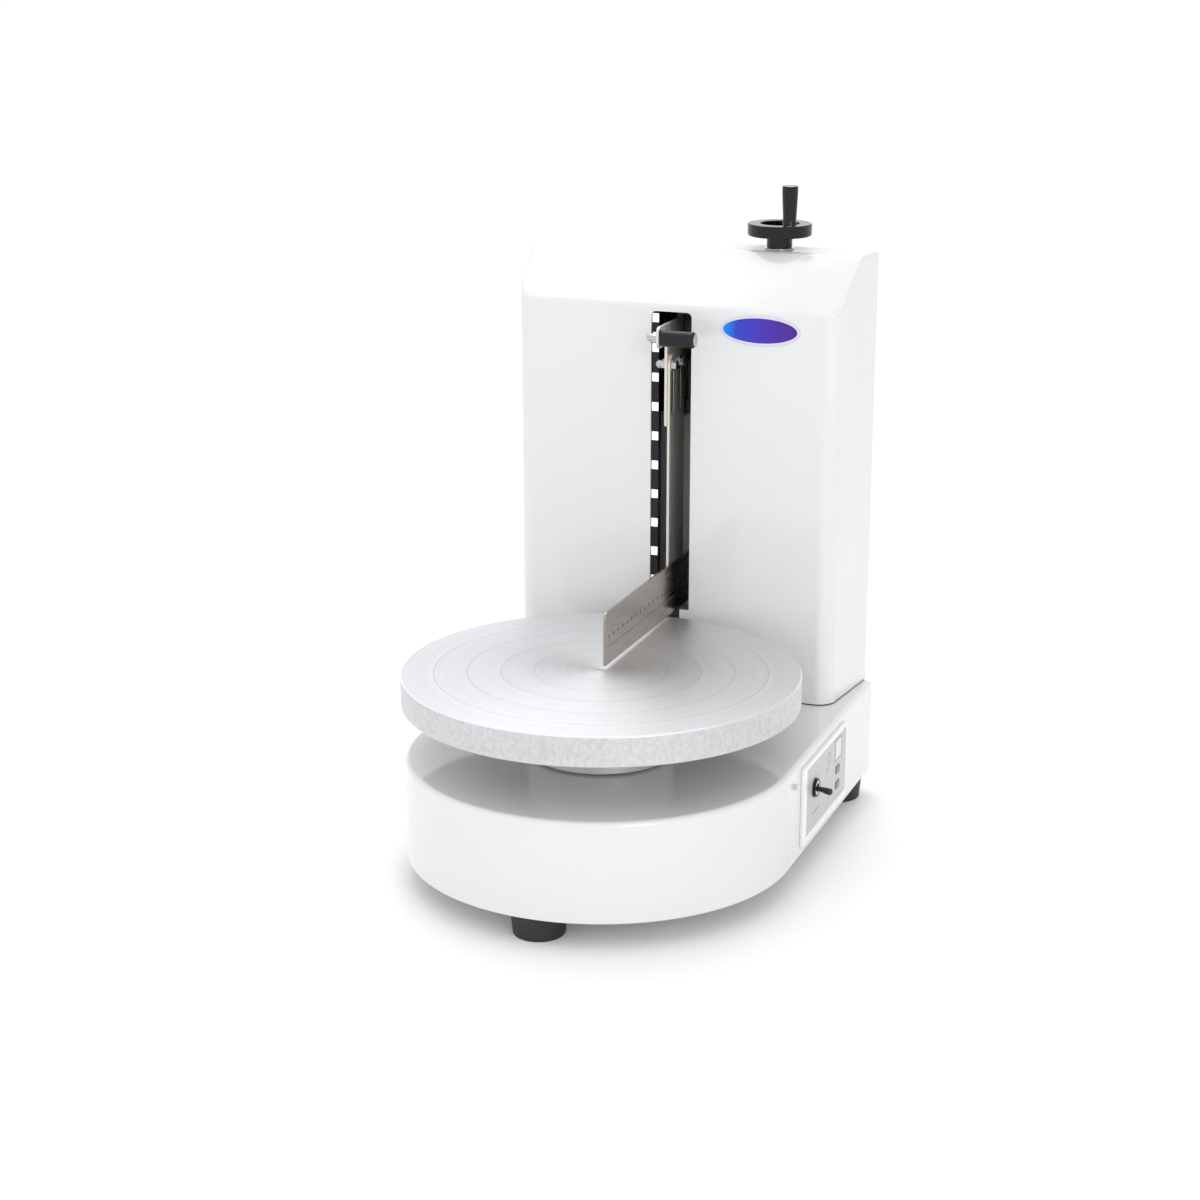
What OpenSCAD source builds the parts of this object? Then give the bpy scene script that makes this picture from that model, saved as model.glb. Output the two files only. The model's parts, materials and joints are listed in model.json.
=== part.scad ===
// Cake-icing machine: a motor turntable in a D-shaped base, with a slotted tower at the back.
// The tower carries a level blade on a lead screw and an upright side scraper on a pull-out arm.
// Origin: centre of the turntable's top face. +X is the operator's right, +Y the back, +Z up.

/* [Turntable] */
// Diameter of the turntable plate
plate_d = 304.8; // [290:0.2:306]
// Thickness of the turntable plate
plate_t = 23.5; // [18:0.5:26]
// Distance between the guide rings turned into the plate
ring_pitch = 25.4; // [20:0.1:26]
// Number of guide rings
ring_count = 5; // [3:1:5]
// Diameter of the hub flange under the plate
hub_d = 112; // [106:1:118]

/* [Base] */
// Width of the base, and twice the radius of its round front
base_w = 300; // [296:1:306]
// Distance from the turntable axis to the back of the base
base_back = 245; // [243:1:250]
// Height of the base housing without its feet
base_h = 78; // [77:1:84]
// Gap between the plate's underside and the base top
plate_gap = 42; // [41:1:44]
// Sheet thickness of the base housing
base_wall = 2.5; // [2:0.1:3]
// Radius of the housing's top edge
base_edge_r = 4; // [3.5:0.5:6]
// Height of the rubber feet
foot_h = 19.5; // [18:0.5:24]

/* [Tower] */
// Distance from the turntable axis to the tower's front face
tower_front = 163; // [162:0.5:165]
// Width of the tower at its front face, before the corners are rounded
tower_w_front = 270; // [264:1:274]
// Width of the tower at its back
tower_w_back = 287; // [280:1:290]
// Height of the tower's flat top above the turntable
tower_top = 293.5; // [290:0.5:300]
// Height of the crease where the front face leans back
crease_z = 253; // [250:1:256]
// Distance from the turntable axis to the front of the flat top
flat_top_front = 212; // [208:1:213]
// Sheet thickness of the tower cover
tower_wall = 2; // [1.5:0.1:2.2]
// Radius of the upright front corners
tower_corner_r = 15; // [10:1:18]

/* [Slot and scale] */
// Left edge of the slot
slot_left = -19.5; // [-22:0.5:-19]
// Right edge of the slot
slot_right = 14.5; // [14:0.5:18]
// Top of the slot above the turntable
slot_top = 248.5; // [246:0.5:249]
// Bottom of the slot's wide part
slot_foot = 3.5; // [2:0.5:5]
// Distance between the white height marks
mark_pitch = 24; // [22:0.5:24]
// Height of one mark
mark_h = 7; // [5:0.5:8]
// Number of marks
mark_count = 10; // [8:1:10]

/* [Scrapers] */
// Height of the level blade
blade_h = 42; // [36:1:42]
// Gap between the level blade and the turntable when it is lowered
blade_gap = 3.2; // [2:0.2:3.2]
// Thickness of both scraper plates
scraper_t = 2; // [1.5:0.1:2]
// Width of the upright scraper, front to back
side_w = 36; // [32:1:37]
// Height of the upright scraper's top edge
side_top = 216.5; // [214:0.5:218]
// Diameter of the handle sleeve
sleeve_d = 13; // [11:0.5:14]
// Length of the handle sleeve
sleeve_len = 28.3; // [26:0.1:34]

/* [Hand wheel] */
// Diameter of the hand wheel
wheel_d = 51.7; // [50:0.1:56]
// Height of the wheel's rim
wheel_rim_h = 9.8; // [9:0.1:13]
// Length of the revolving grip
grip_len = 31; // [26:1:34]

/* [Hidden] */
$fn = 64;
BIG = 400;

// Levels
base_r = base_w / 2;
base_top = -plate_t - plate_gap;
base_bottom = base_top - base_h;
plate_floor_t = 3;                        // bottom plate
floor_top = base_bottom + plate_floor_t;  // inner face of the bottom plate
roof = base_top - base_wall;              // inner face of the housing's top
gasket_t = 1;
tower_foot = base_top + gasket_t;

// Running fits
run_gap = 0.08;   // radial clearance of a shaft in its bush
free_gap = 0.3;   // clearance between curved faces that must not touch

// Turntable drive
spindle_r = 12.5;
bearing_or = 26;
bearing_h = 12;
housing_r = 36;
housing_top = -46;
hub_skirt = 6;
hub_gap = 1.4;
pulley_h = 14;
pulley_z = floor_top + 5;
driven_r = 64;
drive_r = 16;
belt_t = 2.5;
motor_x = -52;
motor_y = 150;
motor_d = hypot(motor_x, motor_y);
motor_deck = pulley_z + pulley_h + 5;     // underside of the gear motor
motor_deck_t = 4;
gearbox_w = 60;
gearbox_h = 34;
can_r = 15;
can_len = 78;
spindle_foot = floor_top + 3;
motor_feet = [[-40, -9], [40, -9], [-40, 28], [40, 28]];

// Posts and feet
post_spots = [[-104, 196], [104, 196], [-112, 60], [112, 60]];
post_r = 8;
foot_spots = [[0, -127], [-127, 222.5], [127, 222.5]];
foot_top_r = 21;
foot_foot_r = 19.4;
screw_r = 2.5;

// Gland for the mains lead, in the back wall
gland_x = -96;
gland_z = base_bottom + 30;
gland_r = 8;
gland_bore = 3.6;

// Tower
inner_back = base_back - tower_wall;
marks_first = 242.8;
mark_inset = 0.5;
mark_w = 5.4;
liner_depth = 18;
liner_t = 1.5;
vent_count = 9;
panel_screw_spots = [for (x = [-124, 124], z = [-50, 110, 272]) [x, z]];
mast_t = 8;
mast_foot_top = tower_foot + mast_t;
mast_front = 190;
mast_back = inner_back - 2;
mast_cap_z = 274;
mast_cap_t = 10;
column_x = -62;
column_w = 24;
wheel_x = 65.7;
wheel_y = 229;
rod_r = 6;
rod_spread = 31;
rod_x = [wheel_x - rod_spread, wheel_x + rod_spread];
lead_r = 6;
screw_foot = mast_foot_top - 6;

// Level blade and its carriage
blade_x = 1.6;
blade_tail = 210;
carriage_x0 = 24;
carriage_x1 = wheel_x + rod_spread + 14;
carriage_y0 = 216;
carriage_y1 = 240.5;
carriage_z0 = -12;
carriage_h = 60;
bushing_r = 10.5;
nut_r = 11;
blade_screw_spots = [[196, 14], [196, 34], [205, 24]];

// Side scraper arm
side_x = -0.9;
side_front = 150;
bracket_x = -3.2;
bracket_t = 2.2;
bracket_front = 149.3;
bracket_back = 240;
bracket_foot = 158;
bracket_top = 241.5;
ear_front = 128.5;
ear_foot = 224.5;
bolt_z = 207.5;
bolt_y = [side_front + 6.5, side_front + 24];
bolt_r = 2.2;
slot_drop = 37;
handle_y = 133.5;
handle_z = 232.5;
guide_front = 188;
guide_back = 214;
sleeve_x = bracket_x + bracket_t + 0.3;
handle_head_r = 4.8;

// Control panel on the right side wall
panel_x = base_r;
panel_t = 3;
panel_front = 33.5;
panel_len = 123;
panel_foot = base_bottom + 7.5;
panel_h = 63.5;
label_front = 41.5;
label_len = 112.5;
label_foot = base_bottom + 13.5;
label_h = 54;
label_t = 2.4;
label_x = panel_x + label_t;
toggle_x = panel_x + 1;
toggle_y = 64.8;
toggle_z = base_top - 31.9;
toggle_tilt = 9;
toggle_pin_r = 1;
button_y = 124.9;
button_len = 10.9;
button_h = 6.8;
button_up_z = base_top - 42.8;
button_down_z = base_top - 55.7;
display_y = 123.1;
display_len = 16;
display_h = 15;
display_z = base_top - 29.3;
board_x = panel_x - base_wall - 9;
board_y = 94;
board_z = base_bottom + 14;
board_len = 62;
board_h = 56;
board_holes = [[3, 3], [board_len - 3, 3], [3, board_h - 3], [board_len - 3, board_h - 3]];

// Hand wheel
wheel_r = wheel_d / 2;
collar_h = 1;
neck_h = 9.3;
wheel_foot = tower_top + collar_h + 0.3;
rim_foot = wheel_foot + neck_h;
rim_top = rim_foot + wheel_rim_h;
dish_r = 15.6;
hub_r = 10.5;
grip_orbit = 20;
grip_turn = -51;
grip_x = wheel_x + grip_orbit * cos(grip_turn);
grip_y = wheel_y + grip_orbit * sin(grip_turn);
grip_foot = rim_top + 0.5;

// Badge
badge_x = 71.3;
badge_z = 238;
badge_a = 32.6;
badge_b = 12;
badge_t = 1.2;

function hypot(a, b) = sqrt(a * a + b * b);

// ---------- shared shapes ----------

module ring(r_out, r_in, h) {
    difference() {
        cylinder(r = r_out, h = h);
        translate([0, 0, -1]) cylinder(r = r_in, h = h + 2);
    }
}

// A screw standing on z = 0 with its head above and its shank below
module screw(head_r, head_h, r, length) {
    cylinder(r = head_r, h = head_h);
    translate([0, 0, -length]) cylinder(r = r, h = length + 0.01);
}

module rounded_rect(size_x, size_y, r) {
    translate([r, 0]) square([size_x - 2 * r, size_y]);
    translate([0, r]) square([size_x, size_y - 2 * r]);
    for (x = [r, size_x - r], y = [r, size_y - r]) translate([x, y]) circle(r = r);
}

// Plate standing in the Y-Z plane: its 2D shape is drawn as (y, z)
module upright_plate(x, t) {
    translate([x, 0, 0]) rotate([90, 0, 90]) linear_extrude(height = t) children();
}

// Cylinder along X
module x_rod(x, y, z, r, length) {
    translate([x, y, z]) rotate([0, 90, 0]) cylinder(r = r, h = length);
}

// ---------- base ----------

// Rounded-top body of the base, drawn inset from the outer faces by "inset"
module base_body(inset, z0, z1) {
    r = base_r - inset;
    e = max(base_edge_r - inset, 0.5);
    back = base_back - inset;
    translate([0, 0, z0]) rotate_extrude() {
        square([r - e, z1 - z0]);
        square([r, z1 - z0 - e]);
        translate([r - e, z1 - z0 - e]) intersection() {
            circle(r = e);
            square(e);
        }
    }
    translate([0, back, z0]) rotate([90, 0, 0]) linear_extrude(height = back) {
        translate([-r + e, 0]) square([2 * r - 2 * e, z1 - z0]);
        translate([-r, 0]) square([2 * r, z1 - z0 - e]);
        for (s = [-1, 1]) translate([s * (r - e), z1 - z0 - e]) circle(r = e);
    }
}

module base_shell() {
    color("white") difference() {
        base_body(0, base_bottom, base_top);
        base_body(base_wall, base_bottom - 5, roof);
        translate([0, 0, roof - 1]) cylinder(r = housing_r + 0.2, h = 10);
        for (p = post_spots) if (p.y > mast_front) {
            translate([p.x, p.y, roof - 1]) cylinder(r = screw_r + 0.5, h = 10);
        }
        translate([wheel_x, wheel_y, roof - 1]) cylinder(r = lead_r + 4, h = 10);
        panel_openings(base_r - base_wall - 1, base_wall + 2);
        translate([gland_x, base_back + 1, gland_z]) rotate([90, 0, 0]) {
            cylinder(r = gland_r, h = base_wall + 4);
        }
    }
}

module base_outline(inset) {
    circle(r = base_r - inset);
    translate([-base_r + inset, 0]) square([base_w - 2 * inset, base_back - inset]);
}

module base_plate() {
    color("silver") difference() {
        translate([0, 0, base_bottom]) linear_extrude(height = plate_floor_t) {
            base_outline(base_wall + 0.5);
        }
        for (p = concat(foot_spots, post_spots)) {
            translate([p.x, p.y, base_bottom - 1]) cylinder(r = screw_r, h = 10);
        }
    }
}

module rubber_feet() {
    color("black") for (p = foot_spots) translate([p.x, p.y, base_bottom - foot_h]) difference() {
        rotate_extrude() polygon([
            [0, 0], [foot_foot_r - 1.5, 0], [foot_foot_r, 1.5], [foot_top_r, foot_h - 2],
            [foot_top_r, foot_h], [0, foot_h]
        ]);
        translate([0, 0, -1]) cylinder(r = 7, h = foot_h / 2 + 1);
        cylinder(r = screw_r, h = foot_h + 1);
    }
}

module foot_screws() {
    color("gray") for (p = foot_spots) {
        translate([p.x, p.y, base_bottom - foot_h / 2]) mirror([0, 0, 1]) {
            screw(5, 3, screw_r, foot_h / 2 + plate_floor_t + 2);
        }
    }
}

module base_plate_screws() {
    color("gray") for (p = post_spots) translate([p.x, p.y, base_bottom]) mirror([0, 0, 1]) {
        screw(5, 2.5, screw_r, plate_floor_t + 12);
    }
}

module chassis_posts() {
    color("silver") for (p = post_spots) translate([p.x, p.y, floor_top]) difference() {
        cylinder(r = post_r, h = roof - floor_top);
        translate([0, 0, -1]) cylinder(r = screw_r, h = 13);
        translate([0, 0, roof - floor_top - 14]) cylinder(r = screw_r, h = 20);
    }
}

// Gland for the mains lead, in the back wall
module cord_gland() {
    color("black") translate([gland_x, base_back + 6, gland_z]) rotate([90, 0, 0]) difference() {
        union() {
            cylinder(r = gland_r - free_gap / 2, h = 14);
            cylinder(r = 11, h = 6);
            translate([0, 0, 6 + base_wall]) cylinder(r = 11, h = 4, $fn = 6);
        }
        translate([0, 0, -1]) cylinder(r = gland_bore, h = 20);
    }
}

// ---------- turntable drive ----------

module bearing_housing() {
    color("silver") difference() {
        union() {
            translate([0, 0, pulley_z + pulley_h + 8]) {
                cylinder(r = housing_r, h = housing_top - pulley_z - pulley_h - 8);
            }
            translate([0, 0, roof - 6]) cylinder(r = housing_r + 18, h = 6);
        }
        translate([0, 0, -BIG]) cylinder(r = bearing_or - 4, h = BIG);
        for (z = bearing_levels()) translate([0, 0, z]) cylinder(r = bearing_or, h = bearing_h);
    }
}

function bearing_levels() = [pulley_z + pulley_h + 12, housing_top - bearing_h - 2];

module spindle_bearings() {
    color("silver") for (z = bearing_levels()) translate([0, 0, z]) {
        ring(bearing_or, bearing_or - 4.5, bearing_h);
        ring(spindle_r + 4.5, spindle_r + run_gap, bearing_h);
        translate([0, 0, 2]) ring(bearing_or - 4.5, spindle_r + 4.5, bearing_h - 4);
    }
}

module turntable_plate() {
    chamfer = 1.2;
    groove = 0.5;
    color("silver") difference() {
        translate([0, 0, -plate_t]) rotate_extrude($fn = 128) polygon([
            [0, 0], [plate_d / 2 - chamfer, 0], [plate_d / 2, chamfer],
            [plate_d / 2, plate_t - chamfer], [plate_d / 2 - chamfer, plate_t], [0, plate_t]
        ]);
        for (i = [1:ring_count]) translate([0, 0, -groove]) {
            ring(i * ring_pitch + groove / 2, i * ring_pitch - groove / 2, groove + 1);
        }
        translate([0, 0, -plate_t - 1]) cylinder(r = spindle_r, h = 9);
        for (a = [0:60:300]) rotate(a) translate([44, 0, -plate_t - 1]) cylinder(r = 2.5, h = 13);
    }
}

module turntable_hub() {
    hub_foot = base_top + hub_gap;
    flange = 10;
    color("silver") difference() {
        translate([0, 0, hub_foot]) cylinder(r = hub_d / 2, h = -plate_t - hub_foot);
        translate([0, 0, hub_foot - 1]) {
            cylinder(r = hub_d / 2 - hub_skirt, h = -plate_t - flange - hub_foot + 1);
        }
        translate([0, 0, -BIG]) cylinder(r = spindle_r, h = BIG);
        for (a = [0:60:300]) rotate(a) translate([44, 0, -BIG / 2]) cylinder(r = 3, h = BIG);
    }
}

module hub_screws() {
    color("gray") for (a = [0:60:300]) rotate(a) translate([44, 0, -plate_t - 10]) {
        mirror([0, 0, 1]) screw(4.5, 4, 2.5, 20);
    }
}

module spindle() {
    color("silver") {
        translate([0, 0, spindle_foot]) cylinder(r = spindle_r, h = -plate_t + 8 - spindle_foot);
    }
}

module toothless_pulley(r, bore, h) {
    flange = 1.5;
    difference() {
        union() {
            cylinder(r = r, h = h);
            cylinder(r = r + 3, h = flange);
            translate([0, 0, h - flange]) cylinder(r = r + 3, h = flange);
        }
        translate([0, 0, -1]) cylinder(r = bore, h = h + 2);
    }
}

module driven_pulley() {
    color("dimgray") translate([0, 0, pulley_z]) difference() {
        toothless_pulley(driven_r, spindle_r, pulley_h);
        for (a = [0:60:300]) rotate(a) translate([38, 0, -1]) cylinder(r = 12, h = pulley_h + 2);
    }
}

module motor_pulley() {
    color("dimgray") translate([motor_x, motor_y, pulley_z]) {
        toothless_pulley(drive_r, 5, pulley_h);
    }
}

module motor_shaft() {
    color("silver") translate([motor_x, motor_y, pulley_z]) {
        cylinder(r = 5, h = motor_deck + motor_deck_t + 8 - pulley_z);
    }
}

// Outline round two circles on the X axis: radius ra at the origin, rb at distance d
module belt_outline(ra, rb, d) {
    lean = asin((ra - rb) / d);
    circle(r = ra);
    translate([d, 0]) circle(r = rb);
    polygon([
        [ra * sin(lean), ra * cos(lean)], [d + rb * sin(lean), rb * cos(lean)],
        [d + rb * sin(lean), -rb * cos(lean)], [ra * sin(lean), -ra * cos(lean)]
    ]);
}

module drive_belt() {
    inner = free_gap;
    color("black") translate([0, 0, pulley_z + 2]) rotate(atan2(motor_y, motor_x)) {
        linear_extrude(height = pulley_h - 4) difference() {
            belt_outline(driven_r + inner + belt_t, drive_r + inner + belt_t, motor_d);
            belt_outline(driven_r + inner, drive_r + inner, motor_d);
        }
    }
}

module motor_bracket() {
    color("silver") translate([motor_x, motor_y, 0]) difference() {
        union() {
            translate([-46, -34, motor_deck]) cube([92, 70, motor_deck_t]);
            for (p = motor_feet) translate([p.x, p.y, floor_top]) {
                cylinder(r = 5, h = motor_deck - floor_top);
            }
        }
        translate([0, 0, motor_deck - 1]) cylinder(r = 9, h = motor_deck_t + 2);
        for (p = motor_feet) translate([p.x, p.y, floor_top + 6]) cylinder(r = 2, h = BIG);
    }
}

module gear_motor() {
    z0 = motor_deck + motor_deck_t;
    color("dimgray") translate([motor_x, motor_y, z0]) difference() {
        union() {
            translate([-gearbox_w / 2, -gearbox_w / 2, 0]) cube([gearbox_w, gearbox_w, gearbox_h]);
            x_rod(gearbox_w / 2, 0, gearbox_h / 2, can_r, can_len);
            x_rod(gearbox_w / 2 + can_len, 0, gearbox_h / 2, 6, 4);
        }
        translate([0, 0, -1]) cylinder(r = 5 + run_gap, h = gearbox_h / 2 + 1);
    }
}

module motor_screws() {
    color("gray") translate([motor_x, motor_y, motor_deck + motor_deck_t]) {
        for (p = motor_feet) translate([p.x, p.y, 0]) screw(4, 2, 2, 14);
    }
}

// ---------- control panel ----------

// Holes through the side wall for the switch, the display and the two buttons
module panel_openings(x, depth) {
    x_rod(x, toggle_y, toggle_z, 6, depth);
    translate([x, display_y, display_z]) cube([depth, display_len, display_h]);
    for (z = [button_up_z, button_down_z]) translate([x, button_y, z]) {
        cube([depth, button_len, button_h]);
    }
}

module control_panel_frame() {
    color("white") difference() {
        upright_plate(panel_x, panel_t) translate([panel_front, panel_foot]) {
            rounded_rect(panel_len, panel_h, 2);
        }
        upright_plate(panel_x - 1, panel_t + 2) translate([label_front, label_foot]) {
            rounded_rect(label_len, label_h, 1);
        }
    }
}

module panel_label() {
    color("lightgray") difference() {
        upright_plate(panel_x, label_t) translate([label_front + 0.1, label_foot + 0.1]) {
            rounded_rect(label_len - 0.2, label_h - 0.2, 1);
        }
        panel_openings(panel_x - 1, label_t + 2);
    }
}

module display_window() {
    color("whitesmoke") {
        translate([panel_x - base_wall, display_y + 0.2, display_z + 0.2]) {
            cube([base_wall + label_t + 0.4, display_len - 0.4, display_h - 0.4]);
        }
    }
}

module push_button(z) {
    gap = 0.35;
    stem = 3;
    translate([panel_x - base_wall, button_y + gap, z + gap]) {
        cube([base_wall + label_t + 0.6, button_len - 2 * gap, button_h - 2 * gap]);
    }
    translate([panel_x - base_wall - stem, button_y + button_len / 2 - 2, z + button_h / 2 - 2]) {
        cube([stem + 0.5, 4, 4]);
    }
}

module button_up() {
    color("firebrick") push_button(button_up_z);
}

module button_down() {
    color("firebrick") push_button(button_down_z);
}

module toggle_bezel() {
    color("black") difference() {
        x_rod(label_x, toggle_y, toggle_z, 7.5, 2.6);
        x_rod(label_x - 1, toggle_y, toggle_z, 5.6, 6);
    }
}

module toggle_switch_body() {
    color("dimgray") difference() {
        union() {
            x_rod(panel_x - base_wall - 1, toggle_y, toggle_z, 5.5, base_wall + label_t + 3.4);
            translate([panel_x - base_wall - 21, toggle_y - 8, toggle_z - 13]) cube([20, 16, 26]);
        }
        x_rod(panel_x - 4, toggle_y, toggle_z, 3.6, 20);
        translate([toggle_x, toggle_y + 6, toggle_z]) rotate([90, 0, 0]) {
            cylinder(r = toggle_pin_r + run_gap, h = 12);
        }
    }
}

// The lever leans down by toggle_tilt from its cross pin in the switch's mouth
module toggle_lever() {
    color("black") translate([toggle_x, toggle_y, toggle_z]) {
        rotate([0, toggle_tilt + 90, 0]) rotate_extrude() polygon([
            [0, -3], [1.15, -2.77], [2.12, -2.12], [2.77, -1.15], [3, 0], [2.77, 1.15], [1.8, 2.4],
            [1.8, 4.5], [2.1, 6], [2.7, 12.4], [2.7, 13.6], [2.45, 14.6], [1.85, 15.3], [1, 15.7],
            [0, 15.8]
        ]);
        translate([0, 4.6, 0]) rotate([90, 0, 0]) cylinder(r = toggle_pin_r, h = 9.2);
    }
}

module control_board() {
    color("seagreen") difference() {
        translate([board_x - 1.6, board_y, board_z]) cube([1.6, board_len, board_h]);
        for (p = board_holes) x_rod(board_x - 5, board_y + p.x, board_z + p.y, 1.5, 10);
    }
    color("dimgray") {
        translate([board_x - 15.6, board_y + 8, board_z + 8]) cube([14, 22, 26]);
        translate([board_x - 9.6, board_y + 38, board_z + 10]) cube([8, 16, 12]);
        x_rod(board_x - 17.6, board_y + 46, board_z + 40, 7, 16);
    }
}

module board_standoffs() {
    color("gold") for (p = board_holes) {
        x_rod(board_x, board_y + p.x, board_z + p.y, 2.6, panel_x - base_wall - board_x);
        x_rod(board_x - 3.6, board_y + p.x, board_z + p.y, 2.6, 2);
        x_rod(board_x - 2, board_y + p.x, board_z + p.y, 1.5, 3);
    }
}

// ---------- tower ----------

// Half width of the tower, inset by "inset", at a distance y from the turntable axis
function side_at(y, inset) = tower_w_front / 2 - inset
    + (tower_w_back - tower_w_front) / 2 * (y - tower_front) / (base_back - tower_front);

// Plan of the tower: straight sides that widen to the back, round front corners
module tower_plan(inset, back) {
    r = tower_corner_r - inset;
    front = tower_front + inset;
    flare = atan((tower_w_back - tower_w_front) / 2 / (base_back - tower_front));
    cy = front + r;
    cx = side_at(cy, inset) - r / cos(flare);
    tangent_y = cy - r * sin(flare);
    tangent_x = cx + r * cos(flare);
    polygon([
        [-cx, front], [cx, front], [cx, cy], [tangent_x, tangent_y], [side_at(back, inset), back],
        [-side_at(back, inset), back], [-tangent_x, tangent_y], [-cx, cy]
    ]);
    for (s = [-1, 1]) translate([s * cx, cy]) circle(r = r);
}

// Side view of the tower as (y, z): upright front, leaning hood, flat top
module tower_profile(inset, z0, back) {
    lean = atan((tower_top - crease_z) / (flat_top_front - tower_front));
    front = tower_front + inset;
    top = tower_top - inset;
    low_z = crease_z - inset * tan(lean / 2);
    top_y = flat_top_front + inset * tan(lean / 2);
    polygon([[front, z0], [back, z0], [back, top], [top_y, top], [front, low_z]]);
}

module tower_body(inset, z0, back) {
    intersection() {
        translate([0, 0, z0]) linear_extrude(height = tower_top - z0 + 10) {
            tower_plan(inset, back);
        }
        upright_plate(-BIG / 2, BIG) tower_profile(inset, z0 - 1, back + 1);
    }
}

// Opening of the slot as (x, z)
module slot_shape() {
    r = 4;
    notch_w = 12;
    translate([slot_left, slot_foot]) square([slot_right - slot_left, slot_top - slot_foot - r]);
    translate([slot_left + r, slot_foot]) {
        square([slot_right - slot_left - 2 * r, slot_top - slot_foot]);
    }
    for (x = [slot_left + r, slot_right - r]) translate([x, slot_top - r]) circle(r = r);
    translate([-5.5, slot_foot - 14]) square([notch_w, 20]);
}

module tower_cover() {
    color("white") difference() {
        tower_body(0, tower_foot, base_back);
        tower_body(tower_wall, tower_foot - 20, inner_back);
        // opening for the back panel, which sits inside the rim
        intersection() {
            tower_body(tower_wall, tower_foot - 20, base_back + 20);
            translate([-BIG / 2, inner_back - 1, tower_foot - 30]) cube([BIG, 20, BIG]);
        }
        translate([0, tower_front + tower_wall + 1, 0]) rotate([90, 0, 0]) {
            linear_extrude(height = tower_wall + 5) slot_shape();
        }
        translate([wheel_x, wheel_y, tower_top - 10]) cylinder(r = lead_r + 2, h = 20);
    }
}

module tower_gasket() {
    color("black") translate([0, 0, base_top]) linear_extrude(height = gasket_t) difference() {
        tower_plan(0.2, base_back - 0.6);
        tower_plan(7, base_back - 7);
    }
}

module tower_back_panel() {
    fit = 0.15;
    color("white") difference() {
        intersection() {
            tower_body(tower_wall + fit, tower_foot, base_back);
            translate([-BIG / 2, inner_back, tower_foot]) cube([BIG, tower_wall, BIG]);
        }
        for (i = [0:vent_count - 1]) translate([-120, inner_back - 1, 20 + i * 12]) {
            cube([55, 5, 4]);
        }
        for (p = panel_screw_spots) translate([p.x, base_back + 1, p.y]) rotate([90, 0, 0]) {
            cylinder(r = 1.6, h = 5);
        }
    }
}

module back_panel_screws() {
    color("gray") for (p = panel_screw_spots) translate([p.x, base_back, p.y]) {
        rotate([-90, 0, 0]) screw(3.2, 1.8, 1.6, 7);
    }
}

// Black strips behind the cover: one lines each jamb, and the left one stands out as the scale
module slot_liners() {
    y0 = tower_front + tower_wall;
    z1 = slot_top + 4;
    z0 = slot_foot - 12;
    margin = 9;
    scale_w = margin + mark_inset + mark_w + 0.1;
    color("black") {
        for (x = [slot_left - liner_t, slot_right]) translate([x, y0, z0]) {
            cube([liner_t, liner_depth, z1 - z0]);
        }
        translate([slot_left - margin, y0, z0]) cube([margin - liner_t, liner_t, z1 - z0]);
        translate([slot_left - margin, y0, slot_foot]) cube([scale_w, liner_t, z1 - slot_foot]);
        translate([slot_right + liner_t, y0, z0]) cube([margin - liner_t, liner_t, z1 - z0]);
    }
}

module scale_marks() {
    t = 0.3;
    color("white") for (i = [0:mark_count - 1]) {
        z = marks_first - i * mark_pitch - mark_h / 2;
        translate([slot_left + mark_inset, tower_front + tower_wall - t, z]) cube([mark_w, t, mark_h]);
    }
}

module badge() {
    color("royalblue") translate([badge_x, tower_front, badge_z]) rotate([90, 0, 0]) {
        linear_extrude(height = badge_t) {
            polygon([for (a = [0:6:354]) [badge_a * cos(a), badge_b * sin(a)]]);
        }
    }
}

// ---------- mast inside the tower ----------

module mast_frame() {
    color("slategray") difference() {
        union() {
            translate([-118, mast_front, tower_foot]) {
                cube([236, mast_back - mast_front, mast_t]);
            }
            translate([column_x, mast_back - 12, mast_foot_top]) {
                cube([column_w, 12, mast_cap_z - mast_foot_top]);
            }
            translate([column_x, mast_back - 25, mast_cap_z]) {
                cube([carriage_x1 - column_x, 25, mast_cap_t]);
            }
        }
        for (x = rod_x) translate([x, wheel_y, tower_foot + 2]) cylinder(r = rod_r, h = BIG);
        for (z = [mast_cap_z - 1, screw_foot]) translate([wheel_x, wheel_y, z]) {
            cylinder(r = 10, h = mast_cap_t + 2);
        }
        for (p = post_spots) if (p.y > mast_front) {
            translate([p.x, p.y, tower_foot - 1]) cylinder(r = screw_r, h = mast_t + 2);
        }
    }
}

module mast_bolts() {
    color("gray") for (p = post_spots) if (p.y > mast_front) {
        translate([p.x, p.y, mast_foot_top]) screw(5, 4, screw_r, mast_foot_top - roof + 12);
    }
}

module guide_rods() {
    color("silver") for (x = rod_x) translate([x, wheel_y, tower_foot + 2]) {
        cylinder(r = rod_r, h = mast_cap_z + mast_cap_t - tower_foot - 2);
    }
}

module screw_bearings() {
    color("silver") {
        translate([wheel_x, wheel_y, mast_cap_z]) ring(10, lead_r + run_gap, mast_cap_t);
        translate([wheel_x, wheel_y, screw_foot]) ring(10, lead_r + run_gap, 6);
    }
}

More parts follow.
